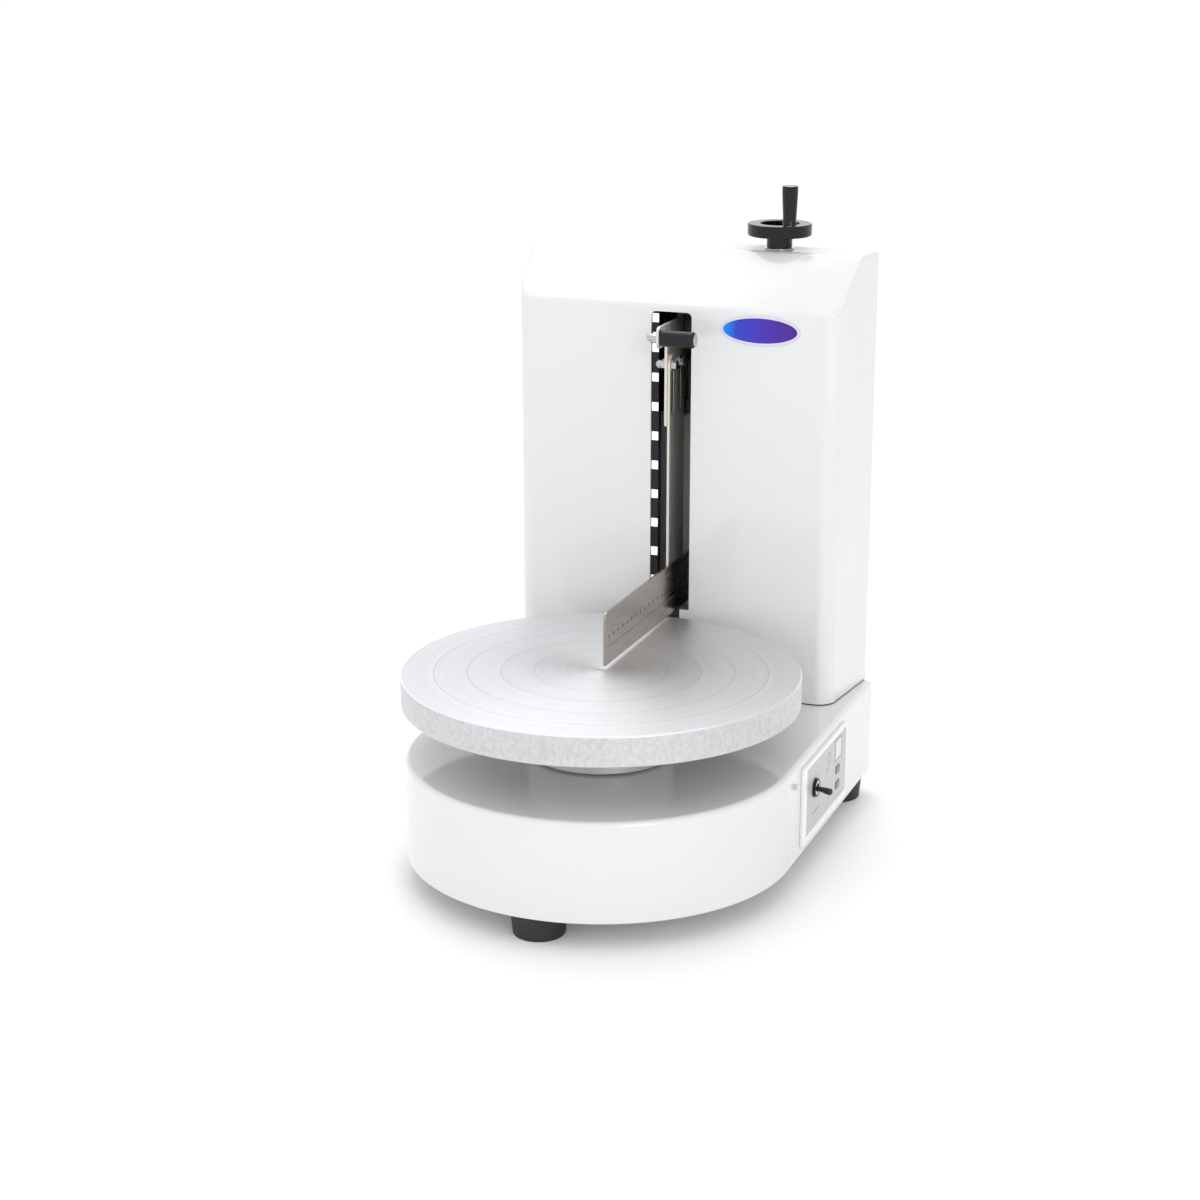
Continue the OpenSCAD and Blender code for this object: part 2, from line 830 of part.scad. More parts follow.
// Nylon block that holds the arm's neck and lets it slide forward
module arm_guide() {
    fit = 0.1;
    z0 = bracket_foot + 4;
    slit_h = bracket_top + fit - z0;
    roof_t = 8;
    band = 12;
    left = -15;
    web_t = 10;
    column = column_x + column_w;
    depth = guide_back - guide_front;
    color("dimgray") {
        difference() {
            translate([left, guide_front, z0]) cube([25, depth, slit_h + roof_t]);
            translate([bracket_x - fit, guide_front - 1, z0 - 1]) {
                cube([bracket_t + 2 * fit, depth + 2, slit_h + 1]);
            }
            translate([bracket_x - 4, guide_front - 1, z0 + band]) {
                cube([bracket_t + 8, depth + 2, slit_h - 2 * band]);
            }
        }
        // web that carries the block from the mast's column
        translate([left - web_t, guide_front, z0]) {
            cube([web_t, mast_back - guide_front, slit_h]);
        }
        translate([column, mast_back - web_t, z0]) cube([left - web_t - column, web_t, slit_h]);
    }
}

module wheel_collar() {
    color("silver") translate([wheel_x, wheel_y, tower_top]) {
        ring(12, lead_r + run_gap, collar_h);
    }
}

// ---------- hand wheel ----------

module hand_wheel() {
    fillet = 3.5;
    color("black") translate([wheel_x, wheel_y, 0]) difference() {
        union() {
            rotate_extrude() difference() {
                translate([0, rim_foot]) square([wheel_r - 1, wheel_rim_h]);
                translate([hub_r, rim_foot + 2]) square([dish_r - hub_r, 20]);
                translate([0, rim_top - 4]) square([hub_r + 1, 10]);
            }
            rotate_extrude() translate([wheel_r - 3, rim_foot + 2]) {
                square([3, wheel_rim_h - 4]);
            }
            translate([0, 0, wheel_foot]) cylinder(r = hub_r, h = rim_foot - wheel_foot + 1);
            rotate_extrude() difference() {
                translate([0, rim_foot - fillet]) square([hub_r + fillet, fillet + 0.5]);
                translate([hub_r + fillet, rim_foot - fillet]) circle(r = fillet);
            }
        }
        translate([0, 0, wheel_foot - 1]) cylinder(r = lead_r, h = BIG);
        translate([grip_x - wheel_x, grip_y - wheel_y, rim_top - 8]) cylinder(r = 2.5, h = 20);
    }
}

module lead_screw() {
    color("silver") translate([wheel_x, wheel_y, screw_foot]) {
        cylinder(r = lead_r, h = rim_top - 4 - screw_foot);
    }
}

module grip_pin() {
    color("silver") translate([grip_x, grip_y, rim_top - 8]) {
        cylinder(r = 2.5, h = grip_foot + grip_len - 2 - rim_top + 8);
        translate([0, 0, grip_foot + grip_len - 2 - rim_top + 8]) cylinder(r = 4, h = 1.8);
    }
}

module revolving_grip() {
    color("black") translate([grip_x, grip_y, grip_foot]) difference() {
        rotate_extrude() polygon([
            [0, 0], [5.8, 0], [5.4, 2], [5.5, 8], [6, 18], [6.4, 26], [6.4, 30], [5.8, grip_len],
            [0, grip_len]
        ]);
        translate([0, 0, -1]) cylinder(r = 2.5 + run_gap, h = BIG);
        translate([0, 0, grip_len - 2.3]) cylinder(r = 4 + free_gap, h = 5);
    }
}

// ---------- level blade and carriage ----------

module scraper_blade() {
    r = 5.5;
    color("silver") difference() {
        upright_plate(blade_x, scraper_t) difference() {
            translate([0, blade_gap]) {
                square([blade_tail, blade_h - r]);
                translate([r, 0]) square([blade_tail - r, blade_h]);
                translate([r, blade_h - r]) circle(r = r);
            }
            for (p = blade_screw_spots) translate([p.x, p.y]) circle(r = 2);
        }
        // scribed line and radius scale on the operator's side
        translate([blade_x + scraper_t - 0.2, 4, 17]) cube([1, 150, 0.5]);
        for (y = [7.5:10:147.5]) translate([blade_x + scraper_t - 0.2, y, 24]) cube([1, 0.8, 3]);
    }
}

module blade_carriage() {
    color("silver") difference() {
        union() {
            translate([carriage_x0, carriage_y0, carriage_z0]) {
                cube([carriage_x1 - carriage_x0, carriage_y1 - carriage_y0, carriage_h]);
            }
            translate([blade_x + scraper_t, 190, 5]) {
                cube([carriage_x0 - blade_x - scraper_t, carriage_y1 - 190, 38]);
            }
        }
        for (x = rod_x) translate([x, wheel_y, carriage_z0 - 1]) {
            cylinder(r = bushing_r, h = carriage_h + 2);
        }
        translate([wheel_x, wheel_y, carriage_z0 - 1]) cylinder(r = nut_r, h = carriage_h + 2);
        for (p = blade_screw_spots) x_rod(blade_x, p.x, p.y, 2, 14);
    }
}

module linear_bushings() {
    color("silver") for (x = rod_x) translate([x, wheel_y, carriage_z0]) {
        ring(bushing_r, rod_r + run_gap, carriage_h);
    }
}

module lead_nut() {
    color("goldenrod") translate([wheel_x, wheel_y, carriage_z0]) {
        ring(nut_r, lead_r + run_gap, 34);
        translate([0, 0, -4]) ring(nut_r + 1, lead_r + run_gap, 4);
    }
}

module blade_screws() {
    color("gray") for (p = blade_screw_spots) {
        x_rod(blade_x - 1.8, p.x, p.y, 3.6, 1.8);
        x_rod(blade_x - 0.1, p.x, p.y, 2, 13);
    }
}

// ---------- side scraper and its arm ----------

module handle_bracket() {
    r = 5;
    color("silver") upright_plate(bracket_x, bracket_t) difference() {
        union() {
            translate([bracket_front, bracket_foot]) {
                rounded_rect(bracket_back - bracket_front, bracket_top - bracket_foot, 2);
            }
            translate([ear_front, ear_foot + r]) square([30, bracket_top - ear_foot - 2 * r]);
            translate([ear_front + r, ear_foot]) square([30, bracket_top - ear_foot]);
            for (z = [ear_foot + r, bracket_top - r]) translate([ear_front + r, z]) circle(r = r);
        }
        translate([handle_y, handle_z]) circle(r = bolt_r);
        for (y = bolt_y) translate([y, bolt_z]) circle(r = bolt_r);
    }
}

module side_scraper() {
    r = 9;
    foot = blade_gap + 0.3;
    slot_w = bolt_r + 0.2;
    color("silver") upright_plate(side_x, scraper_t) difference() {
        union() {
            translate([side_front, foot]) square([side_w, side_top - foot - r]);
            translate([side_front + r, foot]) square([side_w - 2 * r, side_top - foot]);
            for (y = [side_front + r, side_front + side_w - r]) {
                translate([y, side_top - r]) circle(r = r);
            }
        }
        for (y = bolt_y) {
            for (z = [bolt_z, bolt_z - slot_drop]) translate([y, z]) circle(r = slot_w);
            translate([y - slot_w, bolt_z - slot_drop]) square([2 * slot_w, slot_drop]);
        }
    }
}

module clamp_bolts() {
    head_x = side_x + scraper_t + 0.1;
    color("silver") for (y = bolt_y) {
        x_rod(head_x, y, bolt_z, 4.9, 0.9);
        translate([head_x + 0.9, y, bolt_z]) rotate([0, 90, 0]) cylinder(r = 4.5, h = 3, $fn = 6);
        x_rod(bracket_x - 6, y, bolt_z, bolt_r, head_x - bracket_x + 6.5);
    }
}

module acorn_nut(y, z) {
    dome_r = 3.3;
    dome_x = bracket_x - 6.3;
    difference() {
        union() {
            translate([bracket_x - 3.8, y, z]) rotate([0, 90, 0]) cylinder(r = 4.6, h = 3.8, $fn = 6);
            x_rod(dome_x, y, z, dome_r, 3);
            translate([dome_x, y, z]) sphere(r = dome_r, $fn = 32);
        }
        x_rod(bracket_x - 6, y, z, bolt_r, 10);
    }
}

module acorn_nuts() {
    color("silver") {
        for (y = bolt_y) acorn_nut(y, bolt_z);
        acorn_nut(handle_y, handle_z);
    }
}

module handle_bolt() {
    color("silver") {
        x_rod(bracket_x - 6, handle_y, handle_z, bolt_r, sleeve_x + sleeve_len - bracket_x + 5);
        x_rod(sleeve_x + sleeve_len - 1.4, handle_y, handle_z, handle_head_r, 1.9);
    }
}

module handle_sleeve() {
    color("black") difference() {
        union() {
            x_rod(sleeve_x, handle_y, handle_z, sleeve_d / 2 - 0.8, sleeve_len);
            x_rod(sleeve_x + 0.8, handle_y, handle_z, sleeve_d / 2, sleeve_len - 1.6);
        }
        x_rod(sleeve_x - 1, handle_y, handle_z, bolt_r + run_gap, sleeve_len + 2);
        x_rod(sleeve_x + sleeve_len - 1.8, handle_y, handle_z, handle_head_r + free_gap, 5);
    }
}

base_shell();
base_plate();
rubber_feet();
foot_screws();
base_plate_screws();
chassis_posts();
cord_gland();
bearing_housing();
spindle_bearings();
motor_bracket();
gear_motor();
motor_screws();
drive_belt();
control_panel_frame();
panel_label();
display_window();
toggle_bezel();
toggle_switch_body();
control_board();
board_standoffs();
tower_gasket();
tower_cover();
tower_back_panel();
back_panel_screws();
slot_liners();
scale_marks();
badge();
mast_frame();
mast_bolts();
guide_rods();
screw_bearings();
arm_guide();
wheel_collar();
turntable_plate();
turntable_hub();
hub_screws();
spindle();
driven_pulley();
motor_pulley();
motor_shaft();
hand_wheel();
lead_screw();
grip_pin();
revolving_grip();
scraper_blade();
blade_carriage();
linear_bushings();
lead_nut();
blade_screws();
handle_bracket();
clamp_bolts();
acorn_nuts();
handle_bolt();
side_scraper();
handle_sleeve();
toggle_lever();
button_up();
button_down();
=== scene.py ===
"""Looks of the cake-icing machine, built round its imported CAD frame.

Sizes are in millimetres until they reach a mesh. The frame is the CAD's: origin at the centre of the
turntable's top, +Y back, +Z up."""

import json
import math

import bmesh
import bpy
from mathutils import Matrix, Vector
from mathutils.geometry import tessellate_polygon


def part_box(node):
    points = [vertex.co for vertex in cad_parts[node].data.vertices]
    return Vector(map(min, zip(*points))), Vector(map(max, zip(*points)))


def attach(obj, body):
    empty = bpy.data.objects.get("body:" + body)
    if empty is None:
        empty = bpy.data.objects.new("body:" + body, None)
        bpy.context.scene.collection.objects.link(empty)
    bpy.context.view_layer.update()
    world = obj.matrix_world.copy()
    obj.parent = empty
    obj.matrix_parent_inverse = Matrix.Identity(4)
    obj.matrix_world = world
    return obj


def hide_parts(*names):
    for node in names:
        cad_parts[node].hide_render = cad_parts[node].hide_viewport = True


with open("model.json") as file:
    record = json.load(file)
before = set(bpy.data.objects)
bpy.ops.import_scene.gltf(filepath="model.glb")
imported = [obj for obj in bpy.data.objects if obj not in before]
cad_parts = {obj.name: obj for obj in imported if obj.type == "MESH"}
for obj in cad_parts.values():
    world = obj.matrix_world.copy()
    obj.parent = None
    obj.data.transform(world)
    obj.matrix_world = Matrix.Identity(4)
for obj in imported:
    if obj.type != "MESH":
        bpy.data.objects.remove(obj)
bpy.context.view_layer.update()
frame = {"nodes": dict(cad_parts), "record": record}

MM = 0.001
BODY_OF = {
    node: body
    for body, nodes in frame["record"]["behaviour"]["bodies"].items()
    for node in nodes
}
SLOT_OF = {part["node"]: part["material_slot"] for part in frame["record"]["subparts"]}
JOINTS = {joint["name"]: joint for joint in frame["record"]["behaviour"]["joints"]}


def box(node):
    """Lowest and highest corner of a CAD node, in millimetres."""
    low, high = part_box(node)
    return low / MM, high / MM


# ---------- sizes read from the frame ----------

plate_low, plate_high = box("turntable_plate")
base_low, base_high = box("base_shell")
tower_low, tower_high = box("tower_cover")
blade_low, blade_high = box("scraper_blade")
wheel_low, wheel_high = box("hand_wheel")
sleeve_low, sleeve_high = box("handle_sleeve")
grip_low, grip_high = box("revolving_grip")
label_low, label_high = box("panel_label")
frame_low, frame_high = box("control_panel_frame")
bezel_low, bezel_high = box("toggle_bezel")
badge_low, badge_high = box("badge")
feet_low, feet_high = box("rubber_feet")

PLATE_R = plate_high.x
RING_PITCH = PLATE_R / 6
BASE_R = base_high.x
BASE_TOP = base_high.z
FLOOR_Z = feet_low.z
WHEEL = Vector(((wheel_low.x + wheel_high.x) / 2, (wheel_low.y + wheel_high.y) / 2))
WHEEL_R = (wheel_high.x - wheel_low.x) / 2
GRIP = Vector(((grip_low.x + grip_high.x) / 2, (grip_low.y + grip_high.y) / 2))


# ---------- camera ----------


def make_camera():
    """A long lens, a little above the turntable, from the front right."""
    data = bpy.data.cameras.new("camera")
    data.sensor_width = 36
    data.lens = 72.63
    camera = bpy.data.objects.new("camera", data)
    camera.location = (0.6243, -1.6372, 0.5675)
    camera.rotation_euler = (math.radians(73.71), 0, math.radians(20.9))
    bpy.context.scene.collection.objects.link(camera)
    bpy.context.scene.camera = camera


# ---------- stage and light ----------


def make_stage():
    """A wide white floor under the feet."""
    bm = bmesh.new()
    bmesh.ops.create_circle(bm, cap_ends=True, segments=96, radius=9)
    mesh = bpy.data.meshes.new("floor")
    bm.to_mesh(mesh)
    bm.free()
    floor = bpy.data.objects.new("floor", mesh)
    floor.location.z = FLOOR_Z * MM
    bpy.context.scene.collection.objects.link(floor)
    look = Look("floor_white", (0.93, 0.93, 0.93), 0.6)
    look.set("Emission Color", (1, 1, 1, 1)).set("Emission Strength", 0.045)
    mesh.materials.append(look.material)


def area_light(name, place, target, size, watts):
    data = bpy.data.lights.new(name, "AREA")
    data.shape = "RECTANGLE"
    data.size, data.size_y = size
    data.energy = watts
    light = bpy.data.objects.new(name, data)
    light.location = place
    light.rotation_euler = (Vector(place) - Vector(target)).to_track_quat("Z", "Y").to_euler()
    bpy.context.scene.collection.objects.link(light)


def make_world():
    """A white studio whose right side, seen from the camera, is darker."""
    world = bpy.data.worlds.new("studio")
    bpy.context.scene.world = world
    world.use_nodes = True
    tree = world.node_tree
    tree.nodes.clear()
    link = tree.links.new
    out = tree.nodes.new("ShaderNodeOutputWorld")
    seen = tree.nodes.new("ShaderNodeBackground")
    seen.inputs["Color"].default_value = (1, 1, 1, 1)
    seen.inputs["Strength"].default_value = 1.02
    lit = tree.nodes.new("ShaderNodeBackground")
    lit.inputs["Strength"].default_value = 1.17
    path = tree.nodes.new("ShaderNodeLightPath")
    mix = tree.nodes.new("ShaderNodeMixShader")
    coords = tree.nodes.new("ShaderNodeTexCoord")
    side = tree.nodes.new("ShaderNodeVectorMath")
    side.operation = "DOT_PRODUCT"
    side.inputs[1].default_value = Vector((0.80, 0.55, 0.10)).normalized()
    ramp = tree.nodes.new("ShaderNodeValToRGB")
    ramp.color_ramp.elements[0].position = 0.45
    ramp.color_ramp.elements[0].color = (0.93, 0.94, 0.96, 1)
    ramp.color_ramp.elements[1].position = 0.95
    ramp.color_ramp.elements[1].color = (0.68, 0.665, 0.65, 1)
    link(coords.outputs["Generated"], side.inputs[0])
    link(side.outputs["Value"], ramp.inputs["Fac"])
    link(ramp.outputs["Color"], lit.inputs["Color"])
    link(path.outputs["Is Camera Ray"], mix.inputs["Fac"])
    link(lit.outputs[0], mix.inputs[1])
    link(seen.outputs[0], mix.inputs[2])
    link(mix.outputs[0], out.inputs["Surface"])


def make_lights():
    area_light("softbox_top", (-0.45, 0.9, 1.9), (0, 0, 0), (1.9, 1.3), 10)
    area_light("softbox_right", (1.7, -1.9, 1.0), (0, 0.1, 0.1), (0.9, 0.9), 9)


# ---------- materials ----------


class Look:
    """A Principled material, and short ways to add variation to it."""

    def __init__(self, name, colour, rough, metal=0.0):
        self.material = bpy.data.materials.new(name)
        self.material.use_nodes = True
        self.tree = self.material.node_tree
        self.shader = self.tree.nodes["Principled BSDF"]
        self.colour = colour
        self.set("Base Color", (*colour, 1))
        self.set("Roughness", rough)
        self.set("Metallic", metal)
        self.height = None

    def set(self, socket, value):
        self.shader.inputs[socket].default_value = value
        return self

    def node(self, kind, **settings):
        made = self.tree.nodes.new("ShaderNode" + kind)
        for key, value in settings.items():
            setattr(made, key, value)
        return made

    def link(self, source, target):
        self.tree.links.new(source, target)

    def coords(self, scale=(1, 1, 1)):
        """Object coordinates, stretched: a small scale along an axis draws streaks along it."""
        source = self.node("TexCoord")
        mapping = self.node("Mapping")
        mapping.inputs["Scale"].default_value = scale
        self.link(source.outputs["Object"], mapping.inputs["Vector"])
        return mapping.outputs["Vector"]

    def noise(self, size, detail=3, stretch=(1, 1, 1), rough=0.5):
        """Noise whose features are about "size" millimetres across."""
        made = self.node("TexNoise")
        made.inputs["Scale"].default_value = 1 / (size * MM)
        made.inputs["Detail"].default_value = detail
        made.inputs["Roughness"].default_value = rough
        self.link(self.coords(stretch), made.inputs["Vector"])
        return made.outputs["Fac"]

    def around(self, size):
        """Noise that runs in circles about the upright axis: the marks of a lathe tool."""
        source = self.node("TexCoord")
        parts = self.node("SeparateXYZ")
        flat = self.node("CombineXYZ")
        length = self.node("VectorMath", operation="LENGTH")
        line = self.node("CombineXYZ")
        made = self.node("TexNoise")
        made.inputs["Scale"].default_value = 1 / (size * MM)
        made.inputs["Detail"].default_value = 4
        self.link(source.outputs["Object"], parts.inputs["Vector"])
        self.link(parts.outputs["X"], flat.inputs["X"])
        self.link(parts.outputs["Y"], flat.inputs["Y"])
        self.link(flat.outputs["Vector"], length.inputs[0])
        self.link(length.outputs["Value"], line.inputs["X"])
        self.link(line.outputs["Vector"], made.inputs["Vector"])
        return made.outputs["Fac"]

    def span(self, value, low, high, start=0.3, end=0.7):
        """value, from start to end, taken to the range low to high."""
        made = self.node("MapRange")
        made.inputs["From Min"].default_value = start
        made.inputs["From Max"].default_value = end
        made.inputs["To Min"].default_value = low
        made.inputs["To Max"].default_value = high
        self.link(value, made.inputs["Value"])
        return made.outputs["Result"]

    def tint(self, value, dark, start=0.3, end=0.7):
        """Goes from dark to the look's own colour as value goes from start to end."""
        ramp = self.node("ValToRGB")
        ramp.color_ramp.elements[0].position = start
        ramp.color_ramp.elements[0].color = (*dark, 1)
        ramp.color_ramp.elements[1].position = end
        ramp.color_ramp.elements[1].color = (*self.colour, 1)
        self.link(value, ramp.inputs["Fac"])
        self.link(ramp.outputs["Color"], self.shader.inputs["Base Color"])
        return self

    def vary_rough(self, value, low, high):
        self.link(self.span(value, low, high), self.shader.inputs["Roughness"])
        return self

    def bump(self, value, depth, strength=1.0):
        """Raises the surface by value times depth, in millimetres."""
        made = self.node("Bump")
        made.inputs["Strength"].default_value = strength
        made.inputs["Distance"].default_value = depth * MM
        if self.height:
            self.link(self.height, made.inputs["Normal"])
        self.link(value, made.inputs["Height"])
        self.link(made.outputs["Normal"], self.shader.inputs["Normal"])
        self.height = made.outputs["Normal"]
        return self

    def grain(self, amount, turn=0.0, radial=None):
        """Stretches highlights across the grain. radial gives a turned part's axis."""
        self.set("Anisotropic", amount)
        self.set("Anisotropic Rotation", turn)
        if radial:
            tangent = self.node("Tangent", direction_type="RADIAL", axis=radial)
            self.link(tangent.outputs["Tangent"], self.shader.inputs["Tangent"])
        return self


def shade(colour, factor):
    return tuple(c * factor for c in colour)


def painted(name, colour):
    """Glossy baked enamel with a faint orange peel."""
    rough = 0.07
    look = Look(name, colour, rough)
    look.tint(look.noise(60, 2), shade(colour, 0.985))
    look.vary_rough(look.noise(25, 3), rough - 0.03, rough + 0.04)
    look.bump(look.noise(1.6, 2), 0.006)
    look.set("IOR", 1.7)
    return look.material


def turned(name, colour, rough):
    """Metal faced on a lathe, with fine rings round the frame's upright axis."""
    look = Look(name, colour, rough, 1.0)
    rings = look.around(0.35)
    broad = look.around(7)
    mix = look.node("Math", operation="MULTIPLY")
    look.link(rings, mix.inputs[0])
    look.link(broad, mix.inputs[1])
    look.tint(mix.outputs[0], shade(colour, 0.90), start=0.12, end=0.40)
    look.vary_rough(rings, rough - 0.04, rough + 0.08)
    look.bump(rings, 0.02, 0.35)
    look.grain(0.56, 0.25, "Z")
    return look.material


def sawn(name, colour, rough):
    """The plate's side: cast and skimmed aluminium, mottled with small spots."""
    look = Look(name, colour, rough, 1.0)
    spots = look.noise(3.2, 5, (1, 1, 0.8), 0.62)
    look.tint(spots, shade(colour, 0.86), start=0.34, end=0.60)
    look.vary_rough(look.noise(2.0, 3), rough - 0.06, rough + 0.12)
    look.bump(look.noise(0.9, 4), 0.03, 0.6)
    return look.material


def brushed(name, colour, rough, along="Y", grain=0.5, contrast=0.88):
    """Sheet steel with fine grain lines along one axis."""
    stretch = tuple(0.02 if axis == along else 1 for axis in "XYZ")
    look = Look(name, colour, rough, 1.0)
    lines = look.noise(0.5, 3, stretch)
    look.tint(lines, shade(colour, contrast))
    look.vary_rough(look.noise(0.8, 2, stretch), rough - 0.05, rough + 0.08)
    look.bump(lines, 0.004, 0.5)
    look.grain(grain)
    return look.material


def plain_metal(name, colour, rough, size=4.0, contrast=0.9):
    """Plated or ground steel with a little cloudiness."""
    look = Look(name, colour, rough, 1.0)
    cloud = look.noise(size, 4)
    look.tint(cloud, shade(colour, contrast))
    look.vary_rough(look.noise(size / 3, 3), rough - 0.05, rough + 0.08)
    look.bump(look.noise(0.4, 2), 0.004, 0.4)
    return look.material


def moulded(name, colour, rough, texture=0.6, depth=0.015, contrast=0.85):
    """Moulded plastic or rubber with a fine spark-eroded texture."""
    look = Look(name, colour, rough)
    look.tint(look.noise(8, 3), shade(colour, contrast))
    look.vary_rough(look.noise(3, 3), rough - 0.05, rough + 0.06)
    look.bump(look.noise(texture, 3), depth, 0.7)
    return look.material


def dark_gloss(name, colour, rough):
    """Black moulding, duller head on than at a grazing angle."""
    look = Look(name, colour, rough)
    look.tint(look.noise(8, 3), shade(colour, 0.8))
    look.vary_rough(look.noise(3, 3), rough - 0.04, rough + 0.05)
    look.bump(look.noise(0.5, 3), 0.003, 0.5)
    look.set("Specular IOR Level", 0.34)
    return look.material


def white_with_painted_glow(name):
    """White marks that glow a little: a painted glow, standing in for the studio light they catch."""
    look = Look(name, (0.88, 0.88, 0.87), 0.4)
    # the emission is a painted glow standing in for light; the marks are no lamp
    look.set("Emission Color", (1, 1, 1, 1))
    look.set("Emission Strength", 0.55)
    look.bump(look.noise(0.6, 3), 0.005)
    return look.material


def badge_enamel():
    """Enamel that runs from bright blue on the left to deep violet on the right."""
    look = Look("badge_enamel", (0.02, 0.02, 0.30), 0.12)
    source = look.node("TexCoord")
    parts = look.node("SeparateXYZ")
    look.link(source.outputs["Object"], parts.inputs["Vector"])
    across = look.span(parts.outputs["X"], 0, 1, badge_low.x * MM, badge_high.x * MM)
    ramp = look.node("ValToRGB")
    stops = [
        (0.04, (0.0, 0.27, 0.90)),
        (0.20, (0.035, 0.06, 0.52)),
        (0.5, (0.06, 0.035, 0.42)),
        (1.0, (0.075, 0.02, 0.22)),
    ]
    while len(ramp.color_ramp.elements) < len(stops):
        ramp.color_ramp.elements.new(0.5)
    for element, (position, colour) in zip(ramp.color_ramp.elements, stops):
        element.position = position
        element.color = (*colour, 1)
    look.link(across, ramp.inputs["Fac"])
    look.link(ramp.outputs["Color"], look.shader.inputs["Base Color"])
    look.set("Specular IOR Level", 0.2)
    look.bump(look.noise(0.7, 2), 0.004, 0.3)
    return look.material


WHITE = (0.74, 0.74, 0.74)
LOOKS = {
    "white_paint": painted("white_enamel", WHITE),
    "panel_frame": moulded("panel_frame_white", (0.86, 0.86, 0.845), 0.3, 0.8, 0.003, 0.99),
    "inner_steel": moulded("mast_paint", (0.10, 0.11, 0.12), 0.45, 1.0, 0.02),
    "zinc_steel": plain_metal("zinc_plate", (0.62, 0.63, 0.64), 0.32, 3.0),
    "ground_steel": plain_metal("ground_steel", (0.60, 0.60, 0.61), 0.18, 6.0, 0.95),
    "turned_aluminium": turned("turned_aluminium", (0.785, 0.785, 0.795), 0.45),
    "cast_aluminium": plain_metal("cast_aluminium", (0.62, 0.62, 0.63), 0.45, 3.0, 0.85),
    "pulley_black": moulded("pulley_black", (0.03, 0.03, 0.032), 0.4, 0.8),
    "motor_housing": moulded("motor_housing_grey", (0.12, 0.125, 0.13), 0.45, 1.2, 0.03),
    "rubber": moulded("foot_rubber", (0.016, 0.016, 0.017), 0.55, 0.5, 0.02),
    "black_plastic": dark_gloss("black_plastic", (0.004, 0.004, 0.005), 0.11),
    "handle_black": dark_gloss("handle_black", (0.007, 0.008, 0.013), 0.12),
    "label_grey": moulded("label_grey_film", (0.50, 0.50, 0.497), 0.32, 0.3, 0.004, 0.97),
    "display": moulded("display_white", (0.68, 0.69, 0.70), 0.12, 0.5, 0.002, 0.98),
    "key_red": moulded("key_dark_red", (0.16, 0.035, 0.04), 0.35, 0.4, 0.01),
    "board_green": moulded("board_green", (0.02, 0.13, 0.06), 0.4, 0.8, 0.01),
    "brass": plain_metal("brass", (0.66, 0.48, 0.20), 0.28, 3.0),
    # the marks' white carries a painted glow (emission) standing in for light
    "mark_white": white_with_painted_glow("mark_white"),
    "badge_blue": badge_enamel(),
    "stainless": brushed("stainless", (0.60, 0.585, 0.565), 0.14, "Z", 0.2, 0.95),
}
PLATE_SIDE = sawn("plate_side", (0.66, 0.655, 0.665), 0.45)
PLATE_EDGE = plain_metal("plate_edge", (0.86, 0.86, 0.87), 0.2, 6.0, 0.97)
BLADE_STEEL = brushed("blade_steel", (0.44, 0.395, 0.345), 0.22, "Y", 0.4, 0.9)
# black for the blade's printed ticks and for painted shade on the side scraper's slot walls
INK_AND_SLOT_SHADE = moulded("ink_and_slot_shade", (0.02, 0.018, 0.017), 0.5)
BLADE_SCRIBE = moulded("blade_scribe", (0.12, 0.11, 0.10), 0.5)
SIDE_STEEL = brushed("side_scraper_steel", (0.72, 0.68, 0.63), 0.42, "Z", 0.2, 0.95)
BRIGHT_STEEL = plain_metal("polished_fasteners", (0.52, 0.51, 0.50), 0.20, 2.5, 0.92)
# darker copy of cast aluminium: partly the underside's own plain finish, partly painted shade under the
# plate, which the base top reflects
PLATE_BELOW_SHADED = plain_metal("plate_underside_shaded", (0.42, 0.42, 0.43), 0.5, 3.0, 0.85)
# the ring grooves' darker grey is painted shade in the grooves
GROOVE_SHADE = moulded("groove_painted_shade", (0.22, 0.22, 0.22), 0.5)
LEVER_BLACK = moulded("lever_black", (0.010, 0.010, 0.011), 0.18, 0.4, 0.003)
BADGE_RIM = moulded("badge_rim", (0.66, 0.64, 0.76), 0.25, 0.4, 0.004, 0.97)
ICON_GREY = moulded("icon_grey", (0.27, 0.28, 0.28), 0.4, 0.4, 0.004)
ICON_DARK = moulded("icon_dark", (0.10, 0.105, 0.105), 0.4, 0.4, 0.004)
ICON_RED = moulded("icon_red", (0.62, 0.10, 0.11), 0.35, 0.4, 0.002)
KEY_GREY = moulded("key_grey", (0.18, 0.175, 0.18), 0.4, 0.4, 0.008)


# ---------- mesh tools ----------


def fillet(points, closed=False, steps=5):
    """Outline through (u, v) or (u, v, radius) points: a corner with a radius becomes an arc."""
    made = []
    count = len(points)
    for i, point in enumerate(points):
        corner = Vector(point[:2])
        radius = point[2] if len(point) > 2 else 0
        inner = closed or 0 < i < count - 1
        if not radius or not inner:
            made.append(corner)
            continue
        to_last = (Vector(points[i - 1][:2]) - corner).normalized()
        to_next = (Vector(points[(i + 1) % count][:2]) - corner).normalized()
        half = to_last.angle(to_next) / 2
        start = corner + to_last * (radius / math.tan(half))
        end = corner + to_next * (radius / math.tan(half))
        centre = corner + (to_last + to_next).normalized() * (radius / math.sin(half))
        a, b = start - centre, end - centre
        sweep = math.atan2(a.x * b.y - a.y * b.x, a.dot(b))
        for k in range(steps + 1):
            turn = sweep * k / steps
            c, s = math.cos(turn), math.sin(turn)
            made.append(centre + Vector((a.x * c - a.y * s, a.x * s + a.y * c)))
    return made


def circle(u, v, radius, steps=32):
    """Closed ring of points round (u, v)."""
    turns = [math.tau * k / steps for k in range(steps)]
    return [Vector((u + radius * math.cos(t), v + radius * math.sin(t))) for t in turns]


